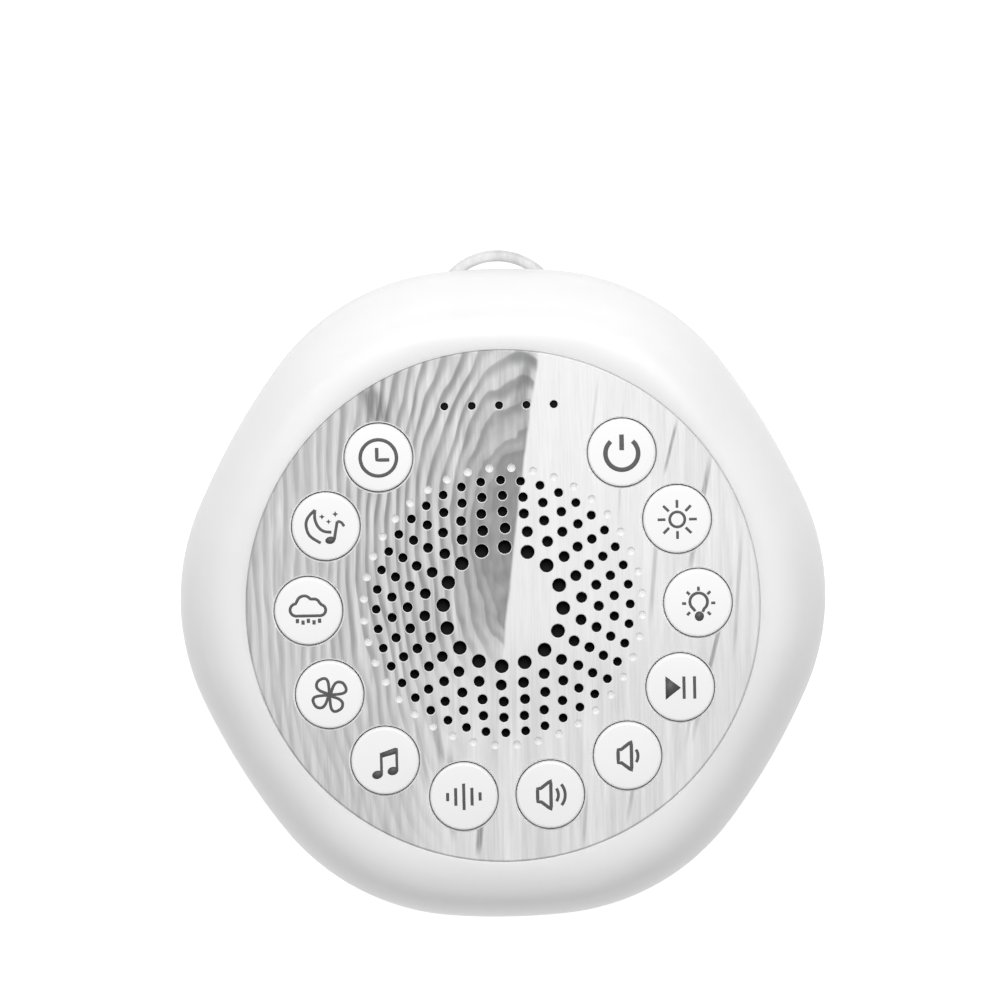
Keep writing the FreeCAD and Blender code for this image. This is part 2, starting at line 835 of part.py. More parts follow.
def make_dust_cap():
    slope = cone_height / (cone_radius - coil_outer_radius)
    low = cone_neck_z + slope * (dust_cap_radius - coil_outer_radius) + 0.02
    inner_radius = dust_cap_radius - dust_cap_sheet
    inner_height = dust_cap_height - dust_cap_sheet
    return lathe(
        (dust_cap_radius, low),
        (dome_middle(dust_cap_radius, dust_cap_height, low), (0, low + dust_cap_height)),
        (0, low + inner_height),
        (dome_middle(inner_radius, inner_height, low), (inner_radius, low)),
    )


def make_voice_coil():
    high = cone_neck_z
    return washer(coil_inner_radius, coil_outer_radius, high - coil_length, high)


def make_spider():
    inner = coil_outer_radius + 0.02
    outer = speaker_shelf_radius - 0.2
    start = inner + 1.0
    wave_length = (speaker_waist_radius - 0.3 - start) / spider_waves
    low = speaker_shelf_z
    high = low + spider_sheet
    under = [(start, low)]
    over = []
    for index in range(spider_waves):
        quarter = start + wave_length * (index + 0.5)
        end = start + wave_length * (index + 1)
        under.append(((quarter, low + spider_wave), (end, low)))
        over.append(((quarter, high + spider_wave), (end - wave_length, high)))
    over.reverse()
    return lathe(
        (inner, low), *under, (outer, low), (outer, high),
        (start + wave_length * spider_waves, high), *over, (inner, high),
    )


def make_top_plate():
    return washer(gap_radius, top_plate_radius, magnet_top_z, speaker_floor_z)


def make_magnet():
    return washer(magnet_inner_radius, magnet_radius, magnet_under_z, magnet_top_z)


def make_yoke():
    plate = disc(yoke_radius, yoke_under_z, magnet_under_z)
    pole = disc(pole_radius, magnet_under_z, speaker_floor_z)
    vent = disc(yoke_vent_diameter / 2, yoke_under_z - 1, speaker_floor_z + 1)
    return plate.fuse(pole).cut(vent)


def make_speaker_terminal():
    high = speaker_shelf_z + terminal_rise
    low = high - terminal_thickness
    wire_reach = abs(speaker_connector_y)
    tab = block(-wire_reach - wire_diameter, -speaker_shelf_radius, -terminal_width / 2,
                terminal_width / 2, low, high)
    tab = turned_to(tab, 180 + terminal_angle)
    sheet_foot = speaker_shelf_radius + speaker_shelf_sheet
    rise = speaker_flange_under_z - (speaker_shelf_z - speaker_sheet)
    spread = speaker_throat_radius + speaker_sheet - sheet_foot
    low_radius = sheet_foot + spread * (low - speaker_shelf_z + speaker_sheet) / rise
    high_radius = sheet_foot + spread * (high - speaker_shelf_z + speaker_sheet) / rise
    basket_space = Part.makeCone(low_radius, high_radius, terminal_thickness, Vector(0, 0, low))
    return tab.cut(basket_space)


def make_light_board():
    board = washer(light_board_inner_radius, light_board_radius, light_board_height, light_board_top_z)
    half_slot = ribbon_width / 2 + light_board_slot_margin
    half_depth = light_board_slot_depth / 2
    cuts = [block(-half_slot, half_slot, ribbon_y - half_depth, ribbon_y + half_depth,
                  light_board_height, light_board_top_z)]
    for x, y in light_posts:
        cuts.append(disc(board_hole_radius, light_board_height, light_board_top_z, x, y))
    return board.cut(cuts)


def make_light_leds():
    half = light_led_size / 2
    led = block(light_led_circle_radius - half, light_led_circle_radius + half, -half, half,
                light_board_top_z, light_board_top_z + light_led_height)
    leds = [turned_to(led, 360.0 * index / light_led_count) for index in range(light_led_count)]
    return Part.makeCompound(leds)


def make_main_board():
    far_y = -main_board_edge_radius
    board = block(-main_board_half_width, main_board_half_width, far_y, main_board_near_y,
                  main_board_height, main_board_top_z)
    board = board.common(disc(main_board_edge_radius, main_board_height, main_board_top_z))
    holes = [disc(board_hole_radius, main_board_height, main_board_top_z, x, y) for x, y in main_posts]
    return board.cut(holes)


def make_board_components():
    z = main_board_top_z
    pieces = [block(x_low, x_high, y_low, y_high, z, z + height)
              for x_low, x_high, y_low, y_high, height in flat_components]
    for side in (-1, 1):
        pieces.append(disc(capacitor_diameter / 2, z, z + capacitor_height,
                           side * capacitor_x, capacitor_y))
    return Part.makeCompound(pieces)


def make_port():
    back_y = port_mouth_y + port_length
    shell = port_outline(port_width, port_height, port_mouth_y, back_y, port_centre_z)
    space = port_outline(port_width - 2 * port_sheet, port_height - 2 * port_sheet,
                         port_mouth_y, back_y - port_back_sheet, port_centre_z)
    half_width = port_tongue_width / 2
    half_height = port_tongue_thickness / 2
    tongue = block(-half_width, half_width, port_mouth_y + port_tongue_recess, back_y - port_tongue_root,
                   port_centre_z - half_height, port_centre_z + half_height)
    return shell.cut(space).fuse(tongue)


def make_battery():
    low = floor_z + battery_tape_thickness
    body = block(-battery_length / 2, battery_length / 2, battery_near_y,
                 battery_near_y + battery_width, low, low + battery_thickness)
    along = [edge for edge in body.Edges if abs(edge.tangentAt(edge.FirstParameter).x) > 0.9]
    return body.makeFillet(battery_rounding, along)


def make_battery_tape():
    half = battery_length / 2 - battery_tape_margin
    return block(-half, half, battery_near_y + battery_tape_margin,
                 battery_near_y + battery_width - battery_tape_margin,
                 floor_z, floor_z + battery_tape_thickness)


def connector(x, y, low, high, length, width):
    return block(x - length / 2, x + length / 2, y - width / 2, y + width / 2, low, high)


def make_connectors():
    top = main_board_top_z
    spots = [
        (battery_connector_x, battery_connector_y),
        (speaker_connector_x, speaker_connector_y),
        (light_connector_x, light_connector_y),
    ]
    pieces = [connector(x, y, top, top + connector_height, connector_length, connector_width)
              for x, y in spots]
    pieces.append(connector(light_connector_x, light_connector_y,
                            light_board_height - light_connector_height, light_board_height,
                            connector_length, connector_width))
    pieces.append(connector(0, ribbon_y, top, top + ribbon_connector_height,
                            ribbon_connector_length, ribbon_connector_width))
    pieces.append(connector(0, ribbon_y, control_board_under_z - ribbon_connector_height,
                            control_board_under_z, ribbon_connector_length, ribbon_connector_width))
    return Part.makeCompound(pieces)


def make_ribbon():
    low = main_board_top_z + ribbon_connector_height
    high = control_board_under_z - ribbon_connector_height
    middle = (low + high) / 2
    points = [
        Vector(0, ribbon_y, low),
        Vector(0, ribbon_y, low + (middle - low) / 3),
        Vector(0, ribbon_y + ribbon_bow, middle),
        Vector(0, ribbon_y, high - (high - middle) / 3),
        Vector(0, ribbon_y, high),
    ]
    half_width = ribbon_width / 2
    half_thickness = ribbon_thickness / 2
    corners = [
        Vector(-half_width, ribbon_y - half_thickness, low),
        Vector(half_width, ribbon_y - half_thickness, low),
        Vector(half_width, ribbon_y + half_thickness, low),
        Vector(-half_width, ribbon_y + half_thickness, low),
    ]
    section = Part.makePolygon(corners + corners[:1])
    return rounded_path(points, ribbon_bend).makePipeShell([section], True, False)


def make_wires():
    wires = []
    wire_ends = (-wire_pitch / 2, wire_pitch / 2)
    battery_z = floor_z + battery_tape_thickness + battery_thickness / 2
    plug_top_z = main_board_top_z + connector_height
    plug_middle_z = main_board_top_z + connector_height / 2
    plug_face_y = battery_connector_y + connector_width / 2
    bend_y = (battery_near_y + plug_face_y) / 2
    for offset in wire_ends:
        x = battery_connector_x + offset
        wires.append(tube_along([
            Vector(x, battery_near_y, battery_z),
            Vector(x, bend_y, battery_z),
            Vector(x, bend_y, plug_middle_z),
            Vector(x, plug_face_y, plug_middle_z),
        ], wire_bend, wire_diameter))
    terminal_z = speaker_shelf_z + terminal_rise - terminal_thickness
    for offset in wire_ends:
        x = speaker_connector_x + offset
        y = speaker_connector_y
        middle_z = (plug_top_z + terminal_z) / 2
        wires.append(tube_along([
            Vector(x, y, plug_top_z),
            Vector(x, y, plug_top_z + wire_straight_run),
            Vector(x - wire_bow, y, middle_z),
            Vector(x, y, terminal_z - wire_straight_run),
            Vector(x, y, terminal_z),
        ], 2 * wire_bend, wire_diameter))
    for offset in wire_ends:
        x = light_connector_x + offset
        low = Vector(x, light_connector_y, plug_top_z)
        high = Vector(x, light_connector_y, light_board_height - light_connector_height)
        wires.append(tube_along([low, high], wire_bend, wire_diameter))
    return Part.makeCompound(wires)


def make_case_screws():
    return Part.makeCompound([
        pan_screw(x, y, case_screw_seat_height, case_screw_length, case_screw_diameter,
                  case_screw_head_diameter, case_screw_head_height)
        for x, y in case_screw_spots
    ])


def make_pad():
    pad = disc(pad_radius, 0.0, base_z + pad_recess)
    groove = washer(pad_groove_radius, pad_groove_radius + pad_groove_width, 0.0, pad_groove_depth)
    return pad.cut(groove)


def make_hanging_ring():
    low = ring_pivot_height - ring_thickness / 2
    high = ring_pivot_height + ring_thickness / 2
    band = washer(ring_radius - ring_band, ring_radius, low, high)
    band = band.makeFillet(ring_edge_radius, [e for e in band.Edges if isinstance(e.Curve, Part.Circle)])
    band = band.common(block(-2 * ring_radius, 2 * ring_radius, 0, 2 * ring_radius, low - 1, high + 1))
    band = moved(band, 0, ring_pivot_y, 0)
    eye_middle = ring_radius - ring_band / 2
    hole_radius = ring_pin_diameter / 2 + ring_pin_running_gap
    for side in (-1, 1):
        x_low = side * eye_middle - ring_eye_width / 2
        x_high = side * eye_middle + ring_eye_width / 2
        band = band.fuse(rod_along_x(ring_eye_diameter / 2, x_low, x_high, ring_pivot_y, ring_pivot_height))
    pin_space = rod_along_x(hole_radius, -2 * ring_radius, 2 * ring_radius, ring_pivot_y, ring_pivot_height)
    return band.cut(pin_space)


def make_ring_pin():
    half = ring_recess_radius + ring_boss_wall - ring_pin_end_room
    return rod_along_x(ring_pin_diameter / 2, -half, half, ring_pivot_y, ring_pivot_height)


pieces = {
    "front_shell": make_front_shell(),
    "rear_shell": make_rear_shell(),
    "face_plate": make_face_plate(),
    "face_plate_adhesive": make_adhesive(),
    "hanging_ring": make_hanging_ring(),
    "hanging_ring_pin": make_ring_pin(),
    "rubber_pad": make_pad(),
    "case_screws": make_case_screws(),
    "button_switches": make_switches(),
    "control_board": make_control_board(),
    "board_screws": make_small_screws(),
    "indicator_leds": make_indicator_leds(),
    "indicator_light_pipe": make_light_pipe(),
    "grille_cloth": make_grille_cloth(),
    "speaker_gasket": make_gasket(),
    "speaker_basket": make_basket(),
    "speaker_surround": make_surround(),
    "speaker_cone": make_cone(),
    "speaker_dust_cap": make_dust_cap(),
    "speaker_voice_coil": make_voice_coil(),
    "speaker_spider": make_spider(),
    "speaker_top_plate": make_top_plate(),
    "speaker_magnet": make_magnet(),
    "speaker_yoke": make_yoke(),
    "speaker_terminal": make_speaker_terminal(),
    "speaker_clamp_screws": make_clamp_screws(),
    "night_light_board": make_light_board(),
    "night_light_leds": make_light_leds(),
    "main_board": make_main_board(),
    "main_board_components": make_board_components(),
    "charging_port": make_port(),
    "battery_cell": make_battery(),
    "battery_tape": make_battery_tape(),
    "board_connectors": make_connectors(),
    "ribbon_cable": make_ribbon(),
    "internal_wires": make_wires(),
}
button_shape = make_button()
plunger_shape = make_plunger()
for button_name, place in buttons.items():
    pieces[button_name + "_button"] = turned_to(button_shape, button_angle(place))
    pieces[button_name + "_switch_plunger"] = turned_to(plunger_shape, button_angle(place))

os.makedirs("parts", exist_ok=True)
for name, shape in pieces.items():
    shape.exportStep("parts/" + name + ".step")
    box = shape.BoundBox
    print(name, "solids", len(shape.Solids), "valid", shape.isValid(), "volume", round(shape.Volume, 2),
          "z", round(box.ZMin, 2), round(box.ZMax, 2))
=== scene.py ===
# %% [markdown]
# A bedside white noise machine: a round, softly six-sided puck of white plastic with a wood-print
# face, twelve buttons, a perforated grille and a small hanging ring. The solid model gives every
# piece its place. Here each visible surface gets its finished form and its finish, step by step.

# %% Load the frame
import json
import math
import bmesh
import bpy
from mathutils import Matrix, Vector


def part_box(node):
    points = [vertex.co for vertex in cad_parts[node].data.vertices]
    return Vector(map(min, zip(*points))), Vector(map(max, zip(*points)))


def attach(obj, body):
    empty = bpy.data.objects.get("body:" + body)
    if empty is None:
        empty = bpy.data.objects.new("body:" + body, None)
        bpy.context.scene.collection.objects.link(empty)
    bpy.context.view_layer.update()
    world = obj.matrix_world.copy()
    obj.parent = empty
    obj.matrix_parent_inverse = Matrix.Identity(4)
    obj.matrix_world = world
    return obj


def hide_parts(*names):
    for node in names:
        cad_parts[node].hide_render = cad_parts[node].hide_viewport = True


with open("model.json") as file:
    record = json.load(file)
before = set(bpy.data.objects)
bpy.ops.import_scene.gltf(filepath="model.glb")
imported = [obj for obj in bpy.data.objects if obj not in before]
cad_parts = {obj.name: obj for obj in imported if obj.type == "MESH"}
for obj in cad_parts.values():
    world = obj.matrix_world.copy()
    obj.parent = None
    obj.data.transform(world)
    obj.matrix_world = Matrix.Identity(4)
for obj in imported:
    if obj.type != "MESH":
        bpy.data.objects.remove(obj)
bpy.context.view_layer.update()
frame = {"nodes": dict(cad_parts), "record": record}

# %% [markdown]
# Sizes are written in metres through one unit, so that a value reads like a drawing: 11.4 * MM.
# Heights come from the solid model, which is measured instead of repeated. The caps stop a hair
# below their solids, so that the ink on them stays within the solid model's height.

# %% Sizes
MM = 0.001
LONG_SIDE_REACH = 54.8 * MM
SLANT_SIDE_REACH = 53.4 * MM
SIDE_ARC_RADIUS = 114.0 * MM
CORNER_ARC_RADIUS = 40.0 * MM
SHELL_WALL = 2.2 * MM
RIM_DROP = 16.0 * MM
RIM_WIDTH = 9.6 * MM
SEAM_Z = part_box("front_shell")[0][2]
RIM_TOP_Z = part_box("front_shell")[1][2]
PLATE_TOP_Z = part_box("face_plate")[1][2]
PLATE_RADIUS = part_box("face_plate")[1][0]
LEDGE_TOP_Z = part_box("face_plate_adhesive")[0][2]
LEDGE_INNER_RADIUS = 40.2 * MM
LEDGE_THICKNESS = 2.0 * MM
PLATE_THICKNESS = 2.4 * MM
RECESS_RADIUS = PLATE_RADIUS + 0.03 * MM
INK_ROOM = 0.04 * MM
BUTTON_TOP_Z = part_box("lamp_button")[1][2] - INK_ROOM
BUTTON_UNDER_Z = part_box("lamp_button")[0][2]
BUTTON_PLACES = 14
BUTTON_CIRCLE_RADIUS = 32.8 * MM
BUTTON_RADIUS = 5.7 * MM
BUTTON_HOLE_RADIUS = 5.9 * MM
BUTTONS = {
    "lamp": 0, "sun": 1, "power": 2, "clock": 5, "moon": 6, "rain": 7,
    "fan": 8, "music": 9, "sound_wave": 10, "volume_up": 11, "volume_down": 12,
    "play_pause": 13,
}
print("plate top", round(PLATE_TOP_Z / MM, 2), "mm, seam", round(SEAM_Z / MM, 2), "mm")


def on_circle(radius, angle):
    """A point on a circle round Z; the angle is in degrees."""
    turn = math.radians(angle)
    return Vector((radius * math.cos(turn), radius * math.sin(turn), 0))


def circle_at(centre, radius, z, count):
    return [centre + on_circle(radius, 360 * index / count) + Vector((0, 0, z)) for index in range(count)]


def button_centre(name):
    return on_circle(BUTTON_CIRCLE_RADIUS, 360 / BUTTON_PLACES * BUTTONS[name])


# %% [markdown]
# A material is a small network of nodes. These helpers make a fresh network and wire the things
# that most finishes share: object coordinates in millimetres, a noise, a ramp and a bump. Values
# that stay the same all over a surface sit on the shader's own sockets.

# %% Material helpers
def new_material(name, roughness=0.5):
    material = bpy.data.materials.new(name)
    material.use_nodes = True
    tree = material.node_tree
    shader = tree.nodes["Principled BSDF"]
    shader.inputs["Roughness"].default_value = roughness
    return material, tree, shader


def millimetres(tree, turn=(0, 0, 0), stretch=(1, 1, 1)):
    """Object coordinates in millimetres, so that pattern sizes read as real ones."""
    coordinate = tree.nodes.new("ShaderNodeTexCoord")
    mapping = tree.nodes.new("ShaderNodeMapping")
    mapping.inputs["Scale"].default_value = [1000 * part for part in stretch]
    mapping.inputs["Rotation"].default_value = turn
    tree.links.new(coordinate.outputs["Object"], mapping.inputs["Vector"])
    return mapping.outputs["Vector"]


def across_and_along(tree):
    split = tree.nodes.new("ShaderNodeSeparateXYZ")
    tree.links.new(millimetres(tree), split.inputs["Vector"])
    return split.outputs["X"], split.outputs["Y"]


def noise(tree, vector, scale, detail=3.0, roughness=0.5, distortion=0.0):
    node = tree.nodes.new("ShaderNodeTexNoise")
    node.inputs["Scale"].default_value = scale
    node.inputs["Detail"].default_value = detail
    node.inputs["Roughness"].default_value = roughness
    node.inputs["Distortion"].default_value = distortion
    tree.links.new(vector, node.inputs["Vector"])
    return node.outputs["Fac"]


def math_node(tree, operation, first, second=None, third=None, clamp=False):
    node = tree.nodes.new("ShaderNodeMath")
    node.operation = operation
    node.use_clamp = clamp
    for socket, value in zip(node.inputs, (first, second, third)):
        if value is None:
            continue
        if isinstance(value, (int, float)):
            socket.default_value = value
        else:
            tree.links.new(value, socket)
    return node.outputs[0]


def plus(tree, first, second):
    return math_node(tree, "ADD", first, second)


def minus(tree, first, second):
    return math_node(tree, "SUBTRACT", first, second)


def times(tree, first, second):
    return math_node(tree, "MULTIPLY", first, second)


def grain_noise(tree, stretch, scale, detail, roughness=0.5, distortion=0.0, lean=0.0):
    """A noise drawn out along the boards: the smaller the stretch, the longer the grain."""
    place = millimetres(tree, (0, 0, lean), (1, stretch, 1))
    return noise(tree, place, scale, detail, roughness, distortion)


def ramp(tree, value, stops):
    node = tree.nodes.new("ShaderNodeValToRGB")
    elements = node.color_ramp.elements
    while len(elements) < len(stops):
        elements.new(0.5)
    for element, (place, colour) in zip(elements, stops):
        element.position = place
        element.color = (*colour, 1.0) if isinstance(colour, tuple) else (colour, colour, colour, 1.0)
    tree.links.new(value, node.inputs["Fac"])
    return node.outputs["Color"]


def span(tree, value, low, high, new_low=0.0, new_high=1.0, smooth=True):
    """The value mapped from one range to another and held inside it."""
    node = tree.nodes.new("ShaderNodeMapRange")
    node.interpolation_type = "SMOOTHSTEP" if smooth else "LINEAR"
    for name, number in zip(("From Min", "From Max", "To Min", "To Max"), (low, high, new_low, new_high)):
        node.inputs[name].default_value = number
    tree.links.new(value, node.inputs["Value"])
    return node.outputs["Result"]


def mix(tree, share, first, second, blend="MIX"):
    node = tree.nodes.new("ShaderNodeMix")
    node.data_type = "RGBA"
    node.blend_type = blend
    for socket, value in zip((node.inputs[0], node.inputs[6], node.inputs[7]), (share, first, second)):
        if isinstance(value, bpy.types.NodeSocket):
            tree.links.new(value, socket)
        elif isinstance(value, tuple):
            socket.default_value = (*value, 1.0)
        elif socket.type == "RGBA":
            socket.default_value = (value, value, value, 1.0)
        else:
            socket.default_value = value
    return node.outputs[2]


def colour_by(tree, shader, value, low, high, start=0.3, end=0.7):
    """The colour runs from low to high while the value runs from start to end."""
    tree.links.new(ramp(tree, value, [(start, low), (end, high)]), shader.inputs["Base Color"])


def gloss_by(tree, shader, value, low, high):
    tree.links.new(span(tree, value, 0.3, 0.7, low, high), shader.inputs["Roughness"])


def bump(tree, shader, height, strength, distance=0.05 * MM):
    node = tree.nodes.new("ShaderNodeBump")
    node.inputs["Strength"].default_value = strength
    node.inputs["Distance"].default_value = distance
    tree.links.new(height, node.inputs["Height"])
    tree.links.new(node.outputs["Normal"], shader.inputs["Normal"])


# %% [markdown]
# Moulded plastic is never one flat colour. A mould leaves a fine spark-eroded grain, and handling
# leaves faint changes of gloss. Both are noises on the object's own coordinates: a fine one feeds
# the bump, and a broad one moves the colour and the roughness a little.

# %% Moulded plastics
def moulded_plastic(name, low, high, roughness, grain=0.9, strength=0.12, more=()):
    material, tree, shader = new_material(name)
    place = millimetres(tree)
    broad = noise(tree, place, 0.05, 2.0)
    fine = noise(tree, place, grain * 4.0, 2.0)
    colour_by(tree, shader, broad, low, high)
    gloss_by(tree, shader, broad, roughness - 0.04, roughness + 0.04)
    bump(tree, shader, fine, strength, 0.02 * MM)
    for socket, value in more:
        shader.inputs[socket].default_value = value
    return material


shell_white = moulded_plastic("translucent white shell", 0.80, 0.83, 0.42, more=[
    ("Subsurface Weight", 0.25), ("Subsurface Radius", (4 * MM, 4 * MM, 4 * MM)),
    ("Subsurface Scale", 1.0), ("Coat Weight", 0.05)])
rear_white = moulded_plastic("white rear shell", 0.76, 0.80, 0.45)
button_white = moulded_plastic("white button plastic", 0.88, 0.91, 0.40, 1.4, 0.06)
bare_plastic = moulded_plastic("bare white plastic", 0.84, 0.88, 0.45)
# The dimples take a darker copy of the bare white plastic: painted shade in their hollows.
dimple_plastic_painted_shade = moulded_plastic("white dimple plastic with painted shade", 0.72, 0.78, 0.5)
black_plastic = moulded_plastic("black moulded plastic", 0.012, 0.02, 0.5)
# The light pipes' near-black colour is partly a smoked tint and partly painted shade deep in the indicator
# holes.
light_pipe_with_painted_shade = moulded_plastic("smoked light pipe darkened as painted shade", 0.002, 0.005, 0.5, more=[("Specular IOR Level", 0.1)])
cream_plastic = moulded_plastic("cream connector plastic", 0.62, 0.72, 0.5)
chip_black = moulded_plastic("chip epoxy", 0.01, 0.03, 0.6, 2.0, 0.3)
print("moulded plastics ready")

# %% [markdown]
# The wood print is a picture of grain on the real plate, printed in greys. It is drawn here from
# the way a sawn board looks. Two boards meet along a slightly leaning seam. On the left one, the
# growth rings are tall nested ovals round a heart near the seam: each darkens slowly and then
# stops short. The right board is pale and straight, with a few dark streaks. Fine fibres lie over
# both. Every part is a formula in millimetres, so it stays sharp at any distance.

# %% Wood print
STREAKS = [
    ((30.0, 31.5), (27.3, 21.0), 0.38, 0.55), ((35.8, 27.0), (31.0, 3.0), 0.60, 0.50),
    ((39.0, 6.0), (31.0, -25.0), 0.50, 0.55), ((26.5, 16.0), (24.5, -5.0), 0.50, 0.30),
    ((40.5, 14.0), (38.5, -12.0), 0.45, 0.30), ((33.0, -8.0), (30.0, -26.0), 0.40, 0.30),
    ((-9.6, -23.0), (-9.2, -40.5), 0.80, 0.55), ((-4.2, -33.0), (-5.2, -43.0), 0.75, 0.60),
    ((-12.6, -15.0), (-10.6, -28.0), 0.90, 0.40), ((-15.5, -18.0), (-13.0, -31.0), 0.50, 0.30),
    ((13.6, -30.0), (12.6, -42.0), 0.45, 0.30), ((22.4, -25.0), (20.0, -38.0), 0.45, 0.32),
    ((17.0, 40.0), (14.5, 22.0), 0.35, 0.18), ((21.0, 36.0), (19.6, 12.0), 0.35, 0.18),
    ((-22.4, 38.6), (-19.4, 30.0), 2.60, 0.55), ((5.6, 43.4), (2.8, 32.0), 1.50, 0.50),
]
RING_PITCH = 1.75
RING_LEAN = 0.5
HEART_X, HEART_Y = 3.4, 11.0
HEART_STRETCH = 2.35
LATE_WOOD = (0.27, 0.27, 0.275)
STREAK_COLOUR = (0.12, 0.12, 0.125)


def streak(tree, x, y, start, end, width, strength):
    """The darkness of a soft line from start to end, tapering at both ends."""
    slope = (end[0] - start[0]) / (end[1] - start[1])
    line_x = math_node(tree, "MULTIPLY_ADD", y, slope, start[0] - slope * start[1])
    aside = math_node(tree, "ABSOLUTE", minus(tree, x, line_x))
    low, high = min(start[1], end[1]), max(start[1], end[1])
    fade = (high - low) * 0.3
    inside = times(tree, span(tree, y, low, low + fade), span(tree, y, high - fade, high, 1, 0))
    return times(tree, inside, span(tree, aside, width * 0.3, width, strength, 0.0))


def fibres(tree, scale, detail, stretch, low, high):
    return ramp(tree, grain_noise(tree, stretch, scale, detail, 0.6, 0.4), [(0.30, low), (0.70, high)])


def wood_print(name):
    material, tree, shader = new_material(name)
    x, y = across_and_along(tree)
    warp = minus(tree, grain_noise(tree, 0.4, 0.10, 2.0), 0.5)
    swirl = minus(tree, grain_noise(tree, 0.6, 0.22, 2.0), 0.5)
    fine = grain_noise(tree, 0.05, 3.0, 4.0, 0.6)

    # Tall ovals round the heart of the left board
    oval_x = minus(tree, x, HEART_X)
    oval_y = math_node(tree, "DIVIDE", minus(tree, y, HEART_Y), HEART_STRETCH)
    reach = math_node(tree, "SQRT", plus(tree, times(tree, oval_x, oval_x), times(tree, oval_y, oval_y)))
    reach = math_node(tree, "MULTIPLY_ADD", warp, 4.0, reach)
    near_heart = span(tree, reach, 4.0, 16.0, 1.0, 0.0)
    reach = plus(tree, reach, times(tree, times(tree, swirl, near_heart), 5.0))
    year = math_node(tree, "FRACT", math_node(tree, "DIVIDE", reach, RING_PITCH))
    late_wood = times(tree, span(tree, year, 0.25, 0.75), span(tree, year, 0.85, 1.0, 1, 0))
    strength = times(tree, span(tree, reach, 24.0, 38.0, 0.95, 0.45),
                     span(tree, swirl, -0.25, 0.15, 0.6, 1.0))
    strength = times(tree, strength, span(tree, y, -34.0, 2.0, 0.45, 1.0))
    left_base = fibres(tree, 0.9, 3.0, 0.06, 0.50, 0.74)
    left = mix(tree, times(tree, late_wood, strength), left_base, LATE_WOOD)
    heart = ramp(tree, swirl, [(0.0, 0.25), (0.22, 0.42)])
    heart_share = times(tree, span(tree, reach, 5.5, 13.0, 0.9, 0.0), span(tree, y, -14.0, 2.0))
    left = mix(tree, heart_share, left, heart)

    right = fibres(tree, 0.55, 3.0, 0.05, 0.79, 0.85)
    far_right = fibres(tree, 0.8, 4.0, 0.05, 0.66, 0.85)
    right = mix(tree, span(tree, x, 12.0, 34.0, 0.0, 0.8), right, far_right)
    low_board = fibres(tree, 0.75, 4.0, 0.045, 0.64, 0.84)

    # The seam is sharp beside the heart and fades out below it
    seam_x = math_node(tree, "MULTIPLY_ADD", times(tree, y, y), 0.0005,
                       math_node(tree, "MULTIPLY_ADD", y, 0.12, 0.75))
    from_seam = minus(tree, x, math_node(tree, "MULTIPLY_ADD", swirl, 0.8, seam_x))
    colour = mix(tree, span(tree, from_seam, -0.3, 0.3), left, right)
    soft_colour = mix(tree, span(tree, from_seam, -22.0, -2.0), left, low_board)
    colour = mix(tree, span(tree, y, -14.0, -2.0, 1.0, 0.0), colour, soft_colour)
    colour = mix(tree, 0.35, colour, ramp(tree, fine, [(0.3, 0.80), (0.6, 1.0)]), "MULTIPLY")
    dark = 0.0
    for start, end, width, depth in STREAKS:
        dark = plus(tree, streak(tree, x, y, start, end, width, depth), dark)
    ragged = span(tree, fine, 0.3, 0.6, 0.6, 1.2)
    colour = mix(tree, times(tree, dark, ragged), colour, STREAK_COLOUR)
    tree.links.new(colour, shader.inputs["Base Color"])
    gloss_by(tree, shader, fine, 0.40, 0.50)
    shader.inputs["Specular IOR Level"].default_value = 0.3
    bump(tree, shader, fine, 0.04, 0.02 * MM)
    return material


# The ring's print shows only broad, pale bands of the same grain
def ring_print(name):
    material, tree, shader = new_material(name, 0.45)
    bands = grain_noise(tree, 0.25, 0.35, 3.0, 0.55, 0.6, RING_LEAN)
    fine = grain_noise(tree, 0.08, 2.2, 3.0, lean=RING_LEAN)
    base = ramp(tree, bands, [(0.3, 0.52), (0.5, 0.66), (0.7, 0.74)])
    colour = mix(tree, 0.3, base, ramp(tree, fine, [(0.3, 0.8), (0.6, 1.0)]), "MULTIPLY")
    tree.links.new(colour, shader.inputs["Base Color"])
    bump(tree, shader, fine, 0.04, 0.02 * MM)
    return material


plate_wood = wood_print("grey wood print")
ring_wood = ring_print("grey wood print of the ring")
print("wood prints ready")

# %% [markdown]
# The rest of the finishes are for pieces that show little or only from behind: the ink of the
# icons, black cloth behind the grille, rubber, plated steel, the green boards, and a few more.

# %% Other finishes
def ink(name):
    material, tree, shader = new_material(name, 0.55)
    wear = noise(tree, millimetres(tree), 2.5, 3.0)
    colour_by(tree, shader, wear, 0.075, 0.095)
    return material


def woven_cloth(name, low, high, pitch):
    material, tree, shader = new_material(name, 0.95)
    turns = 2 * math.pi / pitch
    across, along = [math_node(tree, "SINE", times(tree, part, turns)) for part in across_and_along(tree)]
    weave = times(tree, across, along)
    colour_by(tree, shader, weave, low, high, 0.0, 1.0)
    bump(tree, shader, weave, 0.5)
    return material


def rubber(name):
    material, tree, shader = new_material(name, 0.8)
    place = millimetres(tree)
    dust = noise(tree, place, 0.3, 5.0)
    colour_by(tree, shader, dust, 0.02, 0.045, 0.35, 0.75)
    bump(tree, shader, noise(tree, place, 5.0, 2.0), 0.4)
    return material


def metal(name, colour, roughness, stretch=(1, 1, 0.1)):
    material, tree, shader = new_material(name)
    lines = noise(tree, millimetres(tree, stretch=stretch), 6.0, 3.0)
    darker = tuple(0.8 * part for part in colour)
    colour_by(tree, shader, lines, darker, colour)
    gloss_by(tree, shader, lines, roughness - 0.06, roughness + 0.08)
    shader.inputs["Metallic"].default_value = 1.0
    return material


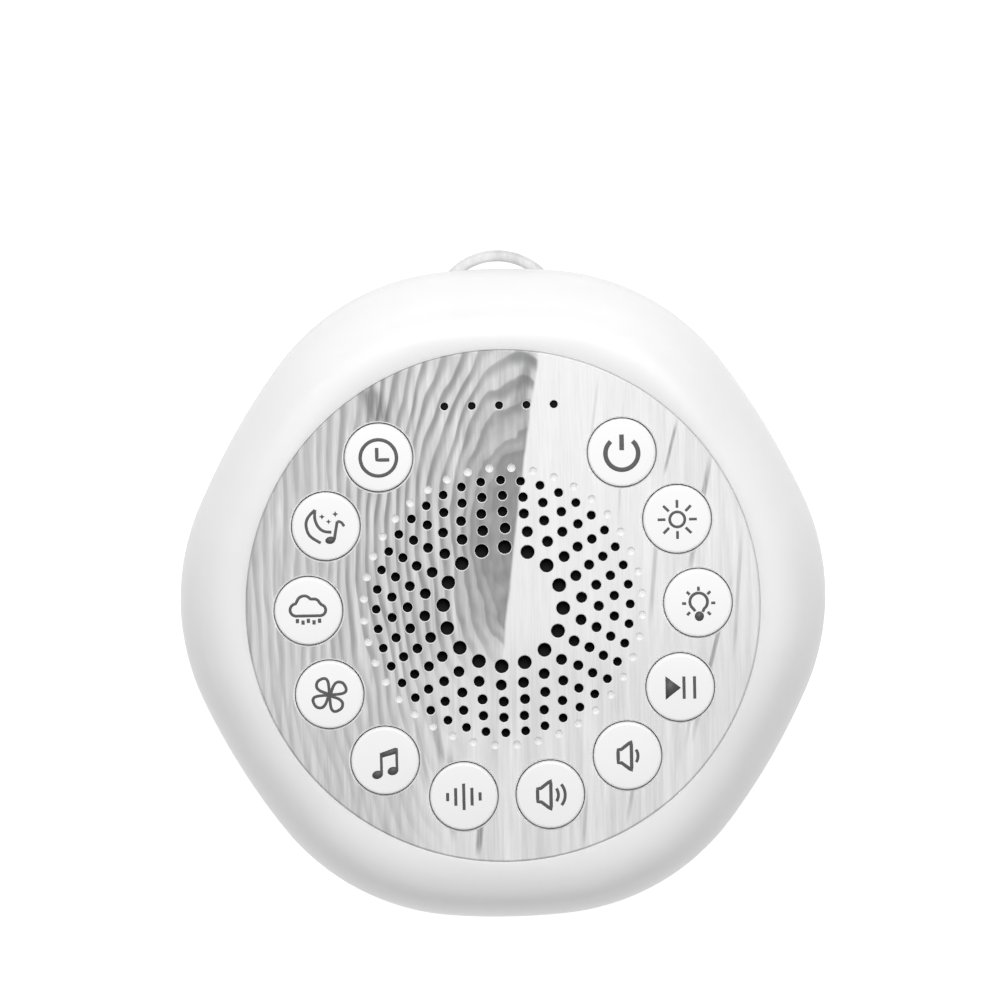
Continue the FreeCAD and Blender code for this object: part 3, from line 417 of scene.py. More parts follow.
def circuit_board(name):
    material, tree, shader = new_material(name, 0.35)
    tracks = tree.nodes.new("ShaderNodeTexBrick")
    tracks.inputs["Scale"].default_value = 0.35
    tracks.inputs["Mortar Size"].default_value = 0.05
    tracks.inputs["Color1"].default_value = (0.012, 0.09, 0.035, 1)
    tracks.inputs["Color2"].default_value = (0.016, 0.11, 0.045, 1)
    tracks.inputs["Mortar"].default_value = (0.05, 0.20, 0.09, 1)
    tree.links.new(millimetres(tree), tracks.inputs["Vector"])
    tree.links.new(tracks.outputs["Color"], shader.inputs["Base Color"])
    bump(tree, shader, tracks.outputs["Fac"], 0.3)
    return material


def mottled(name, low, high, roughness, scale=1.0):
    material, tree, shader = new_material(name, roughness)
    spots = noise(tree, millimetres(tree), scale, 5.0, 0.6)
    colour_by(tree, shader, spots, low, high)
    bump(tree, shader, spots, 0.25)
    return material


icon_ink = ink("dark grey icon ink")
grille_black = woven_cloth("black grille cloth", 0.004, 0.012, 0.5)
spider_cloth = woven_cloth("amber spider cloth", (0.30, 0.15, 0.03), (0.45, 0.25, 0.06), 0.7)
pad_rubber = rubber("black rubber")
roll_rubber = rubber("surround rubber")
plated_steel = metal("zinc plated steel", (0.62, 0.62, 0.64), 0.32)
port_steel = metal("bright plated steel", (0.72, 0.72, 0.74), 0.22, (1, 0.1, 1))
copper = metal("copper winding", (0.75, 0.38, 0.20), 0.35, (0.2, 0.2, 3))
board_green = circuit_board("green circuit board")
ferrite = mottled("dark ferrite", 0.02, 0.05, 0.6, 2.0)
cone_paper = mottled("pressed paper cone", 0.02, 0.045, 0.85, 1.2)
foam = mottled("black foam", 0.01, 0.03, 0.95, 4.0)
led_clear = mottled("clear LED dome", (0.85, 0.80, 0.55), (0.95, 0.92, 0.75), 0.15, 0.8)
battery_film = mottled("blue shrink film", (0.02, 0.10, 0.30), (0.04, 0.15, 0.38), 0.3, 0.3)
ribbon_film = mottled("pale ribbon film", 0.6, 0.72, 0.35, 0.6)
wire_red = mottled("red wire insulation", (0.40, 0.02, 0.015), (0.5, 0.03, 0.02), 0.45, 1.0)
print("other finishes ready")

# %% [markdown]
# Every solid that stays as it is takes its finish from the slot that the record gives it.

# %% Finishes for the solid pieces
FINISH_OF_SLOT = {
    "translucent_shell": shell_white, "shell": rear_white, "wood_print": plate_wood,
    "ring_wood_print": ring_wood, "foam_tape": foam, "steel": plated_steel,
    "port_steel": port_steel, "rubber": pad_rubber, "switch_housing": black_plastic,
    "switch_plunger": cream_plastic, "board": board_green, "led": led_clear,
    "clear_plastic": light_pipe_with_painted_shade, "cloth": grille_black, "cone_paper": cone_paper,
    "copper_wire": copper, "ferrite": ferrite, "chip": chip_black,
    "battery_wrap": battery_film, "connector_plastic": cream_plastic, "ribbon": ribbon_film,
    "wire": wire_red, "button": button_white,
}
FINISH_OF_NODE = {"speaker_spider": spider_cloth, "speaker_surround": roll_rubber}
slot_of_node = {entry["node"]: entry["material_slot"] for entry in frame["record"]["subparts"]}
for node_name, node_object in frame["nodes"].items():
    finish = FINISH_OF_NODE.get(node_name, FINISH_OF_SLOT[slot_of_node[node_name]])
    node_object.data.materials.clear()
    node_object.data.materials.append(finish)
print("finished", len(frame["nodes"]), "solid pieces")


# %% [markdown]
# Most of the new pieces are grids of points: rings of the same number of points, one after the
# other, joined by four-sided faces. One helper makes such a mesh and closes it into a tube or a
# full body, and another turns any mesh data into a piece that rides on its body.

# %% Mesh helpers
def put_in_scene(name, data):
    thing = bpy.data.objects.new(name, data)
    bpy.context.scene.collection.objects.link(thing)
    return thing


def new_piece(name, mesh, material, body, replaced=()):
    for face in mesh.polygons:
        face.use_smooth = True
    mesh.materials.clear()
    mesh.materials.append(material)
    piece = put_in_scene(name, mesh)
    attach(piece, body)
    if replaced:
        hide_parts(*replaced)
    print(name, len(mesh.polygons), "faces")
    return piece


def mesh_of(name, points, faces=()):
    mesh = bpy.data.meshes.new(name)
    mesh.from_pydata([tuple(point) for point in points], [], faces)
    return mesh


def belt(low, high, count):
    """Four-sided faces between two rings of points, from the index of the first point of each."""
    return [(low + index, low + (index + 1) % count, high + (index + 1) % count, high + index)
            for index in range(count)]


def fan(ring, count, tip):
    """Three-sided faces from a ring of points to one point."""
    return [(ring + index, ring + (index + 1) % count, tip) for index in range(count)]


def ring_mesh(name, rings, close_rows=False, start_point=None, end_point=None):
    """A mesh from rings of points. It can close from the last ring to the first, or end in points."""
    count = len(rings[0])
    points = [point for ring in rings for point in ring]
    faces = []
    pairs = list(zip(range(len(rings)), range(1, len(rings))))
    if close_rows:
        pairs.append((len(rings) - 1, 0))
    for low, high in pairs:
        faces += belt(low * count, high * count, count)
    for end, base in ((start_point, 0), (end_point, (len(rings) - 1) * count)):
        if end is not None:
            faces += fan(base, count, len(points))
            points.append(end)
    mesh = mesh_of(name, points, faces)
    outwards(mesh)
    return mesh


def outwards(mesh, merge=1e-7):
    work = bmesh.new()
    work.from_mesh(mesh)
    bmesh.ops.remove_doubles(work, verts=work.verts, dist=merge)
    bmesh.ops.recalc_face_normals(work, faces=work.faces)
    if work.calc_volume(signed=True) < 0:
        bmesh.ops.reverse_faces(work, faces=work.faces)
    work.to_mesh(mesh)
    work.free()
    mesh.update()


def mark_sharp(mesh, degrees):
    """Edges that turn more than this stay crisp, and the rest shade smoothly."""
    work = bmesh.new()
    work.from_mesh(mesh)
    for edge in work.edges:
        if len(edge.link_faces) == 2:
            edge.smooth = edge.calc_face_angle() < math.radians(degrees)
    work.to_mesh(mesh)
    work.free()


def arc_points(centre, radius, start, end, steps):
    """Points of an arc in a section: (inwards from the outline, height)."""
    points = []
    for index in range(steps + 1):
        turn = math.radians(start + (end - start) * index / steps)
        points.append((centre[0] - radius * math.cos(turn), centre[1] + radius * math.sin(turn)))
    return points


# %% [markdown]
# The outline of the shell is six slightly bowed sides and six corner arcs, all tangent. Each point
# keeps its outward direction, so the same outline can be drawn further in for the rim and the wall.

# %% Outline of the shell
SIDES = 6
POINTS_PER_ARC = 16


def make_outline():
    side_angles = [30 + 360 / SIDES * index for index in range(SIDES)]
    reaches = [LONG_SIDE_REACH if index % 3 == 1 else SLANT_SIDE_REACH for index in range(SIDES)]
    sides = [on_circle(reach - SIDE_ARC_RADIUS, angle) for angle, reach in zip(side_angles, reaches)]
    corners = []
    for index in range(SIDES):
        first, second = sides[index], sides[(index + 1) % SIDES]
        half_span = (second - first).length / 2
        away = (first - second).cross(Vector((0, 0, 1))).normalized()
        distance = math.sqrt((SIDE_ARC_RADIUS - CORNER_ARC_RADIUS) ** 2 - half_span ** 2)
        corners.append((first + second) / 2 + away * distance)
    outline = []
    for index in range(SIDES):
        side, corner, next_side = sides[index], corners[index], sides[(index + 1) % SIDES]
        spans = ((side, SIDE_ARC_RADIUS, corners[index - 1] - side, corner - side),
                 (corner, CORNER_ARC_RADIUS, corner - side, corner - next_side))
        for centre, radius, start, end in spans:
            first_turn = math.atan2(start.y, start.x)
            turn = (math.atan2(end.y, end.x) - first_turn) % (2 * math.pi)
            for step in range(POINTS_PER_ARC):
                angle = first_turn + turn * step / POINTS_PER_ARC
                away = Vector((math.cos(angle), math.sin(angle), 0))
                outline.append((centre + away * radius, away))
    return outline


OUTLINE = make_outline()


def outline_ring(inset, z):
    return [point - away * inset + Vector((0, 0, z)) for point, away in OUTLINE]


def circle_ring(radius, z):
    """A circle with one point in the direction of each point of the outline."""
    return [point.normalized() * radius + Vector((0, 0, z)) for point, away in OUTLINE]


print("outline points", len(OUTLINE))

# %% [markdown]
# The front shell is one translucent moulding that also spreads the night light. A ring of sections
# follows it from the seam up the wall, over the rim, down into the seat of the face plate and back
# down inside. The rim's section is two tangent arcs, close to a quarter of an ellipse, which gives
# the soft highlight a real rim has. A small round at the seam catches a thin line of shade.

# %% Front shell
SEAM_ROUND = 0.25 * MM
RECESS_EDGE = 0.2 * MM
LEDGE_GAP = 0.2 * MM


def rim_arcs(wall):
    diagonal = math.hypot(RIM_DROP, RIM_WIDTH)
    top_radius = diagonal * (diagonal - RIM_DROP + RIM_WIDTH) / (2 * RIM_DROP)
    wall_radius = diagonal * (diagonal + RIM_DROP - RIM_WIDTH) / (2 * RIM_WIDTH)
    turn = math.degrees(math.atan2(RIM_DROP - top_radius, wall_radius - RIM_WIDTH))
    start_z = RIM_TOP_Z - RIM_DROP
    points = arc_points((wall_radius, start_z), wall_radius - wall, 0, turn, 12)
    points += arc_points((RIM_WIDTH, RIM_TOP_Z - top_radius), top_radius - wall, turn, 90, 12)[1:]
    return points


def make_front_shell():
    rings = [outline_ring(SHELL_WALL, SEAM_Z), outline_ring(SEAM_ROUND, SEAM_Z)]
    for inset, z in arc_points((SEAM_ROUND, SEAM_Z + SEAM_ROUND), SEAM_ROUND, -90, 0, 4)[1:]:
        rings.append(outline_ring(inset, z))
    rings += [outline_ring(inset, z) for inset, z in rim_arcs(0)]
    ledge_under_z = LEDGE_TOP_Z - LEDGE_THICKNESS
    rings += [circle_ring(radius, z) for radius, z in (
        (RECESS_RADIUS + RECESS_EDGE, RIM_TOP_Z),
        (RECESS_RADIUS + RECESS_EDGE * 0.3, RIM_TOP_Z - RECESS_EDGE * 0.3),
        (RECESS_RADIUS, RIM_TOP_Z - RECESS_EDGE), (RECESS_RADIUS, LEDGE_TOP_Z),
        (LEDGE_INNER_RADIUS, LEDGE_TOP_Z), (LEDGE_INNER_RADIUS, ledge_under_z))]
    inner = [point for point in reversed(rim_arcs(SHELL_WALL)) if point[1] < ledge_under_z - LEDGE_GAP]
    rings += [outline_ring(inset, z) for inset, z in inner]
    mesh = ring_mesh("front_shell_moulding", rings, close_rows=True)
    mark_sharp(mesh, 50)
    new_piece("front_shell_moulding", mesh, shell_white, "housing", ["front_shell"])


make_front_shell()


# %% [markdown]
# Pieces whose solid form is already right only need smooth shading. A copy of the solid is merged
# at its doubled points, its creases are kept, and the copy stands in for the solid.

# %% Smooth copies of solid pieces
def smooth_copy(node_name, piece_name, body="housing"):
    slot = slot_of_node[node_name]
    mesh = frame["nodes"][node_name].data.copy()
    mesh.name = piece_name
    outwards(mesh, 1e-6)
    mark_sharp(mesh, 32)
    new_piece(piece_name, mesh, FINISH_OF_SLOT[slot], body, [node_name])


smooth_copy("rear_shell", "rear_shell_moulding")
smooth_copy("hanging_ring", "hanging_ring_moulding", "hanging_ring_body")
smooth_copy("case_screws", "case_screws_plated")
smooth_copy("charging_port", "charging_port_shell")
smooth_copy("hanging_ring_pin", "hanging_ring_pin_plated")

# %% [markdown]
# The face plate is a disc with one hundred and fifty-seven holes, which nobody would cut by hand.
# Geometry Nodes draw it: each ring of holes is a circle of points with a small circle on each, all
# circles are filled at once, and the filled sheet is pushed up to its thickness in two steps. The
# two steps leave a thin top layer whose points are moved a little afterwards, for worn-in edges.

# %% Node tree for the perforated plate
EDGE_BREAK = 0.26 * MM
HOLE_BREAK = 0.12 * MM
BUTTON_HOLE_BREAK = 0.24 * MM
PLATE_POINTS = 256
GRILLE_RINGS = [
    (10.1, 16, 2.35, -2.6), (13.3, 22, 1.85, 5.6), (16.1, 28, 1.7, -0.8),
    (18.8, 34, 1.6, 4.5), (21.4, 40, 1.5, 0.0),
]
DIMPLE_RING_RADIUS = 23.5 * MM
DIMPLE_COUNT = 40
DIMPLE_FIRST_ANGLE = 4.5
DIMPLE_RADIUS = 0.58 * MM
DIMPLE_DEPTH = 0.34 * MM
INDICATOR_RADIUS = 0.675 * MM
INDICATORS = [Vector((4.6 * MM * (index - 2), 34.0 * MM, 0)) for index in range(5)]


def hole_ring(radius, count, first):
    return [on_circle(radius, first + 360 * index / count) for index in range(count)]


def hole_groups():
    """Each group is (centres, radius, number of points round one hole, width of its worn edge)."""
    groups = []
    for radius, count, diameter, first in GRILLE_RINGS:
        groups.append((hole_ring(radius * MM, count, first), diameter / 2 * MM, 32, HOLE_BREAK))
    groups.append((INDICATORS, INDICATOR_RADIUS, 28, HOLE_BREAK))
    groups.append(([button_centre(name) for name in BUTTONS], BUTTON_HOLE_RADIUS, 96, BUTTON_HOLE_BREAK))
    groups.append((hole_ring(DIMPLE_RING_RADIUS, DIMPLE_COUNT, DIMPLE_FIRST_ANGLE),
                   DIMPLE_RADIUS, 24, HOLE_BREAK))
    return groups


HOLE_GROUPS = hole_groups()


def plate_tree(group_count):
    tree = bpy.data.node_groups.new("perforated plate", "GeometryNodeTree")
    tree.is_modifier = True
    inputs = [("Geometry", "Geometry"), ("Plate Radius", "Float"), ("Body Thickness", "Float"),
              ("Edge Thickness", "Float"), ("Finish", "Material")]
    for index in range(group_count):
        inputs += [(f"Centres {index}", "Object"), (f"Hole Radius {index}", "Float"),
                   (f"Hole Points {index}", "Int")]
    for name, kind in inputs:
        tree.interface.new_socket(name=name, in_out="INPUT", socket_type="NodeSocket" + kind)
    tree.interface.new_socket(name="Geometry", in_out="OUTPUT", socket_type="NodeSocketGeometry")

    def wire(source, output, target, socket):
        tree.links.new(source.outputs[output], target.inputs[socket])

    def step(kind, source=None, output="Geometry", socket="Geometry"):
        node = tree.nodes.new("GeometryNode" + kind)
        if source:
            wire(source, output, node, socket)
        return node

    given = tree.nodes.new("NodeGroupInput")
    curves = step("JoinGeometry")
    edge = step("CurvePrimitiveCircle", given, "Plate Radius", "Radius")
    edge.inputs["Resolution"].default_value = PLATE_POINTS
    wire(edge, "Curve", curves, "Geometry")
    for index in range(group_count):
        source = step("ObjectInfo", given, f"Centres {index}", "Object")
        hole = step("CurvePrimitiveCircle", given, f"Hole Radius {index}", "Radius")
        wire(given, f"Hole Points {index}", hole, "Resolution")
        placed = step("InstanceOnPoints", source, "Geometry", "Points")
        wire(hole, "Curve", placed, "Instance")
        wire(placed, "Instances", curves, "Geometry")
    real = step("RealizeInstances", curves)
    sheet = step("FillCurve", real, "Geometry", "Curve")

    lifted = sheet
    for name in ("Body Thickness", "Edge Thickness"):
        push = step("ExtrudeMesh", lifted, "Mesh", "Mesh")
        push.inputs["Individual"].default_value = False
        wire(given, name, push, "Offset Scale")
        if lifted != sheet:
            wire(lifted, "Top", push, "Selection")
        lifted = push
    whole = step("JoinGeometry", lifted, "Mesh")
    flip = step("FlipFaces", sheet, "Mesh", "Mesh")
    wire(flip, "Mesh", whole, "Geometry")
    merged = step("MergeByDistance", whole)
    merged.inputs["Distance"].default_value = 0.001 * MM
    finish = step("SetMaterial", merged)
    wire(given, "Finish", finish, "Material")
    wire(finish, "Geometry", tree.nodes.new("NodeGroupOutput"), "Geometry")
    return tree


def run_tree(name, tree, values):
    """The mesh that a node tree makes with these values."""
    holder = put_in_scene(name, bpy.data.meshes.new(name))
    modifier = holder.modifiers.new("make", "NODES")
    modifier.node_group = tree
    sockets = {item.name: item.identifier for item in tree.interface.items_tree if item.in_out == "INPUT"}
    for label, value in values.items():
        modifier[sockets[label]] = value
    evaluated = holder.evaluated_get(bpy.context.evaluated_depsgraph_get())
    mesh = bpy.data.meshes.new_from_object(evaluated)
    bpy.data.objects.remove(holder)
    return mesh


tree = plate_tree(len(HOLE_GROUPS))
values = {
    "Plate Radius": PLATE_RADIUS, "Body Thickness": PLATE_THICKNESS - EDGE_BREAK,
    "Edge Thickness": EDGE_BREAK, "Finish": plate_wood,
}
for index, (centres, radius, points, _) in enumerate(HOLE_GROUPS):
    name = f"hole centres {index}"
    values[f"Centres {index}"] = put_in_scene(name, mesh_of(name, centres))
    values[f"Hole Radius {index}"] = radius
    values[f"Hole Points {index}"] = points
plate_mesh = run_tree("face_plate_panel", tree, values)
for index in range(len(HOLE_GROUPS)):
    bpy.data.objects.remove(values[f"Centres {index}"])
print("plate faces", len(plate_mesh.polygons), "points", len(plate_mesh.vertices))


# %% [markdown]
# The filled sheet starts at height zero. It is lifted to its place, and the points of its thin top
# layer move away from the edge they belong to, which leaves a small worn chamfer round the plate
# and round each hole. The print stops at the holes, so the white plastic of the plate shows there.
# Inside, the walls of the small holes are black as painted shade, so that they read as dark dots.

# %% Edges of the plate
def break_edges(mesh):
    lift = PLATE_TOP_Z - PLATE_THICKNESS
    holes = [(centre, radius, wear) for centres, radius, _, wear in HOLE_GROUPS for centre in centres]
    for vertex in mesh.vertices:
        on_top = vertex.co.z > PLATE_THICKNESS - EDGE_BREAK / 2
        in_layer = abs(vertex.co.z - (PLATE_THICKNESS - EDGE_BREAK)) < EDGE_BREAK / 4
        flat = Vector((vertex.co.x, vertex.co.y, 0))
        if flat.length > PLATE_RADIUS - EDGE_BREAK:
            if on_top:
                flat = flat.normalized() * (PLATE_RADIUS - EDGE_BREAK)
        else:
            centre, radius, wear = min(holes, key=lambda hole: abs((flat - hole[0]).length - hole[1]))
            if on_top:
                flat = centre + (flat - centre).normalized() * (radius + wear)
            if in_layer:
                vertex.co.z = PLATE_THICKNESS - wear
        vertex.co.x, vertex.co.y = flat.x, flat.y
        vertex.co.z += lift
    outwards(mesh)
    mark_sharp(mesh, 25)


break_edges(plate_mesh)
face_plate = new_piece("face_plate_panel", plate_mesh, plate_wood, "housing", ["face_plate"])
face_plate.data.materials.append(bare_plastic)
face_plate.data.materials.append(black_plastic)
GRILLE_REACH = DIMPLE_RING_RADIUS - 1.0 * MM
UPRIGHT, LEVEL = 0.2, 0.95
for face in face_plate.data.polygons:
    spot = face.center.to_2d()
    from_indicators = min((spot - centre.to_2d()).length for centre in INDICATORS)
    in_small_hole = spot.length < GRILLE_REACH or from_indicators < 2 * INDICATOR_RADIUS
    # The walls of the small holes take black plastic instead of the plate's white: painted shade.
    if in_small_hole and abs(face.normal.z) < UPRIGHT:
        face.material_index = 2
    elif spot.length < PLATE_RADIUS - 2 * EDGE_BREAK and UPRIGHT < face.normal.z < LEVEL:
        face.material_index = 1


# %% [markdown]
# Outside the holes lies a ring of forty dimples, which are blind. Each is a small cup set into the
# plate: a bowl on top of a short plug. The print doesn't reach into them; their darker white is painted
# shade.

# %% Dimples
def make_dimples():
    points, faces = [], []
    rows, columns = 5, 24
    plug_z = PLATE_TOP_Z - 2 * DIMPLE_DEPTH
    circles = [((DIMPLE_RADIUS + HOLE_BREAK) * math.cos(math.pi / 2 * row / rows),
                PLATE_TOP_Z - DIMPLE_DEPTH * math.sin(math.pi / 2 * row / rows)) for row in range(rows + 1)]
    circles.append((DIMPLE_RADIUS, plug_z))
    for centre in HOLE_GROUPS[-1][0]:
        base = len(points)
        for radius, z in circles:
            points += circle_at(centre, radius, z, columns)
        points.append(centre + Vector((0, 0, plug_z)))
        floor = base + (rows + 1) * columns
        for row in range(rows):
            faces += belt(base + row * columns, base + (row + 1) * columns, columns)
        faces += belt(floor, base, columns) + fan(floor, columns, len(points) - 1)
    mesh = mesh_of("grille_dimples", points, faces)
    outwards(mesh)
    mark_sharp(mesh, 45)
    new_piece("grille_dimples", mesh, dimple_plastic_painted_shade, "housing")


make_dimples()


# %% [markdown]
# A button cap is a turned form: a skirt with a flange that stops it under the plate, a rounded
# shoulder and a slightly crowned top. One profile makes all twelve, each on its own body.

# %% Button caps
BUTTON_DOME = 0.12 * MM
BUTTON_SHOULDER = 0.45 * MM
BUTTON_FLANGE_RADIUS = 6.35 * MM
STEM_RADIUS = 1.8 * MM
BORE_RADIUS = 4.7 * MM
CROWN_THICKNESS = 1.2 * MM
FLANGE_LOW = BUTTON_UNDER_Z + 1.1 * MM
FLANGE_HIGH = FLANGE_LOW + 0.8 * MM
CAP_POINTS = 96
CAP_STEPS = 8


def cap_profile():
    edge_z = BUTTON_TOP_Z - BUTTON_DOME
    bore_z = edge_z - CROWN_THICKNESS
    flat = BUTTON_RADIUS - BUTTON_SHOULDER
    profile = [
        (STEM_RADIUS, BUTTON_UNDER_Z), (STEM_RADIUS, bore_z), (BORE_RADIUS, bore_z),
        (BORE_RADIUS, FLANGE_LOW), (BUTTON_FLANGE_RADIUS, FLANGE_LOW),
        (BUTTON_FLANGE_RADIUS, FLANGE_HIGH), (BUTTON_RADIUS, FLANGE_HIGH),
    ]
    for step in range(CAP_STEPS + 1):
        turn = math.pi / 2 * step / CAP_STEPS
        profile.append((flat + BUTTON_SHOULDER * math.cos(turn),
                        edge_z - BUTTON_SHOULDER + BUTTON_SHOULDER * math.sin(turn)))
    for step in range(1, CAP_STEPS):
        share = 1 - step / CAP_STEPS
        profile.append((flat * share, edge_z + BUTTON_DOME * (1 - share * share)))
    return profile


def make_cap(name):
    centre = button_centre(name)
    rings = [circle_at(centre, radius, z, CAP_POINTS) for radius, z in cap_profile()]
    top = centre + Vector((0, 0, BUTTON_TOP_Z))
    under = centre + Vector((0, 0, BUTTON_UNDER_Z))
    mesh = ring_mesh(name + "_cap", rings, start_point=under, end_point=top)
    mark_sharp(mesh, 40)
    new_piece(name + "_cap", mesh, button_white, name + "_button_body", [name + "_button"])


for name in BUTTONS:
    make_cap(name)

# %% [markdown]
# The icons are printed in grey ink. Each is drawn in millimetres from the centre of its cap with
# two tools: a pen stroke, which is a round tube pressed nearly flat, and a filled shape. Common
# signs are enough to say what a button does.

# %% Pen and fill
INK_HEIGHT = 0.03 * MM
INK_STEP = 0.0015 * MM
RAY_WIDTH = 0.46


def divided(points, longest=0.5):
    """The same line with more points on its long stretches, so that it can follow a dome."""
    line = [points[0]]
    for (x, y), (next_x, next_y) in zip(points, points[1:]):
        steps = max(1, math.ceil(math.hypot(next_x - x, next_y - y) / longest))
        line += [(x + (next_x - x) * i / steps, y + (next_y - y) * i / steps) for i in range(1, steps + 1)]
    return line


def stroke(points, width=0.55, closed=False):
    """A pen line through points, as a curve with a round section pressed flat."""
    points = divided(points + points[:1])[:-1] if closed else divided(points)
    data = bpy.data.curves.new("stroke", "CURVE")
    data.dimensions = "3D"
    data.bevel_depth = width / 2 * MM
    data.bevel_resolution = 3
    data.use_fill_caps = True
    line = data.splines.new("POLY")
    line.points.add(len(points) - 1)
    for slot_point, (x, y) in zip(line.points, points):
        slot_point.co = (x * MM, y * MM, 0, 1)
    line.use_cyclic_u = closed
    holder = bpy.data.objects.new("stroke", data)
    mesh = bpy.data.meshes.new_from_object(holder)
    bpy.data.objects.remove(holder)
    mesh.transform(Matrix.Diagonal((1, 1, 2 * INK_HEIGHT / (width * MM), 1)))
    return mesh


def blob(points):
    """A filled shape with the height of the ink."""
    count = len(points)
    low = [(x * MM, y * MM, -INK_HEIGHT) for x, y in points]
    high = [(x * MM, y * MM, INK_HEIGHT * 0.9) for x, y in points]
    ends = [tuple(reversed(range(count))), tuple(range(count, 2 * count))]
    mesh = mesh_of("blob", low + high, belt(0, count, count) + ends)
    outwards(mesh)
    return mesh


def around(x, y, radius, angle):
    return x + radius * math.cos(math.radians(angle)), y + radius * math.sin(math.radians(angle))


def turned(points, angle):
    u, v = around(0, 0, 1, angle)
    return [(x * u - y * v, x * v + y * u) for x, y in points]


def arc(x, y, radius, start=0, end=360, steps=32):
    count = steps if end - start >= 360 else steps + 1
    return [around(x, y, radius, start + (end - start) * i / steps) for i in range(count)]


def oval(x, y, half_width, half_height, turn=0):
    level = [(half_width * u, half_height * v) for u, v in arc(0, 0, 1, steps=28)]
    return [(x + u, y + v) for u, v in turned(level, turn)]


def through(points, steps=8):
    """A smooth line through a few points."""
    padded = [points[0]] + list(points) + [points[-1]]
    line = []
    for a, b, c, d in zip(padded, padded[1:], padded[2:], padded[3:]):
        for index in range(steps):
            t = index / steps
            line.append(tuple(
                0.5 * (2 * q + (r - p) * t + (2 * p - 5 * q + 4 * r - s) * t * t
                       + (3 * q - p - 3 * r + s) * t ** 3) for p, q, r, s in zip(a, b, c, d)))
    line.append(points[-1])
    return line


def rays(x, y, inner, outer, angles):
    return [stroke([around(x, y, inner, angle), around(x, y, outer, angle)], RAY_WIDTH) for angle in angles]


# %% [markdown]
# The signs themselves: a clock, the power sign, sun and lamp for the light, play and pause, two
# volume signs, and the sounds: waves, music, a fan, rain and a lullaby moon among small stars.

# %% Icons
def clock_icon():
    return [stroke(arc(0, 0, 3.06), 0.6, True), stroke([(-0.25, 1.7), (-0.25, -0.36), (1.85, -0.36)], 0.6)]


def power_icon():
    return [stroke(arc(0, -0.1, 2.75, 132, 408, 40), 0.78), stroke([(0, 0.45), (0, 3.1)], 0.78)]


def sun_icon():
    return [stroke(arc(0, 0, 1.27), 0.48, True)] + rays(0, 0, 1.97, 3.3, range(0, 360, 45))


def lamp_icon():
    glass = arc(0.1, 0.25, 1.48, -52, 232, 36)
    parts = [stroke([(-0.5, -1.35)] + glass[::-1] + [(0.75, -1.5)], 0.5), blob(oval(0.17, -2.2, 0.78, 0.82))]
    return parts + rays(0.1, 0, 2.1, 2.8, (0, 45, 90, 135, 180, 225, 315))


def play_pause_icon():
    return [blob([(-2.5, 2.0), (-2.5, -2.0), (0.1, 0)]),
            stroke([(0.62, 1.9), (0.62, -1.9)], 0.52), stroke([(2.4, 1.9), (2.4, -1.9)], 0.52)]


def speaker_parts(shift):
    outline = [(-1.5, 1.1), (-0.95, 1.15), (0.75, 2.45), (0.75, -2.45), (-0.9, -1.15), (-1.5, -1.1)]
    return [stroke([(x + shift, y) for x, y in outline], 0.58, True)]


def volume_down_icon():
    return speaker_parts(-0.1) + [stroke(arc(-0.15, 0, 1.9, -34, 34, 14), 0.52)]


def volume_up_icon():
    return speaker_parts(-0.65) + [stroke(arc(-0.6, 0, 1.95, -34, 34, 14), 0.52),
                                   stroke(arc(-0.25, 0, 2.75, -40, 40, 18), 0.52)]


def rain_icon():
    cloud = arc(-2.04, 0.26, 1.03, 240, 95, 12) + arc(-0.67, 1.37, 1.25, 160, 35, 14)
    cloud += arc(1.05, 1.2, 0.86, 100, 20, 8) + arc(1.99, 0.17, 0.94, 75, -90, 12)
    parts = [stroke(cloud + [(-2.2, -0.77)], 0.5, True)]
    for index, x in enumerate((-1.87, -0.93, -0.03, 0.92, 1.86)):
        y = -1.62 if index % 2 == 0 else -1.88
        parts.append(stroke([(x, y + 0.36), (x, y - 0.36)], 0.56))
    return parts


def fan_icon():
    blade = through([(-0.02, 0.2), (-0.15, 1.9), (-0.45, 2.65), (-1.05, 2.8), (-1.95, 2.3), (-2.15, 1.4),
                     (-1.6, 0.75), (-0.5, 0.3), (-0.02, 0.2)], 6)
    parts = [blob(oval(0, 0, 0.4, 0.4))]
    for turn in range(0, 360, 90):
        parts.append(stroke(turned(blade, turn), 0.5, True))
    return parts


def music_icon():
    parts = [blob([(-0.85, 0.5), (2.2, 1.3), (2.2, 2.1), (1.75, 2.25), (-0.85, 1.35)])]
    for x, high, low in ((-0.63, 1.0, -2.3), (1.98, 1.9, -1.7)):
        parts.append(stroke([(x, high), (x, low)], 0.46))
        parts.append(blob(oval(x - 0.7, low, 0.92, 0.7, 15)))
    return parts


def sound_wave_icon():
    bars = zip((-2.74, -1.37, 0, 1.37, 2.74), (0.7, 1.5, 2.25, 1.5, 0.7))
    return [stroke([(x, -reach), (x, reach)], 0.52) for x, reach in bars]


def moon_icon():
    outer = through([(-1.75, 2.85), (-2.94, 1.6), (-3.3, 0.2), (-2.7, -1.5), (-0.9, -2.75)])
    inner = through([(-1.75, 2.85), (-1.8, 1.4), (-1.3, 0.05), (-0.35, -0.75), (0.95, -0.95)])
    flag = through([(1.95, 0.85), (2.6, 0.7), (3.1, 0.0)])
    parts = [stroke(outer, 0.5), stroke(inner, 0.5), stroke([(1.95, 0.85), (1.4, -2.2)], 0.5),
             stroke(flag, 0.46), blob(oval(0.72, -2.3, 0.84, 0.62, 10))]
    for x, y, size in ((-0.6, 1.7, 0.5), (0.5, 0.85, 0.46), (1.65, 2.1, 0.52)):
        reaches = (size, size * 0.4) * 4
        parts.append(blob([around(x, y, reach, 45 * index) for index, reach in enumerate(reaches)]))
    return parts


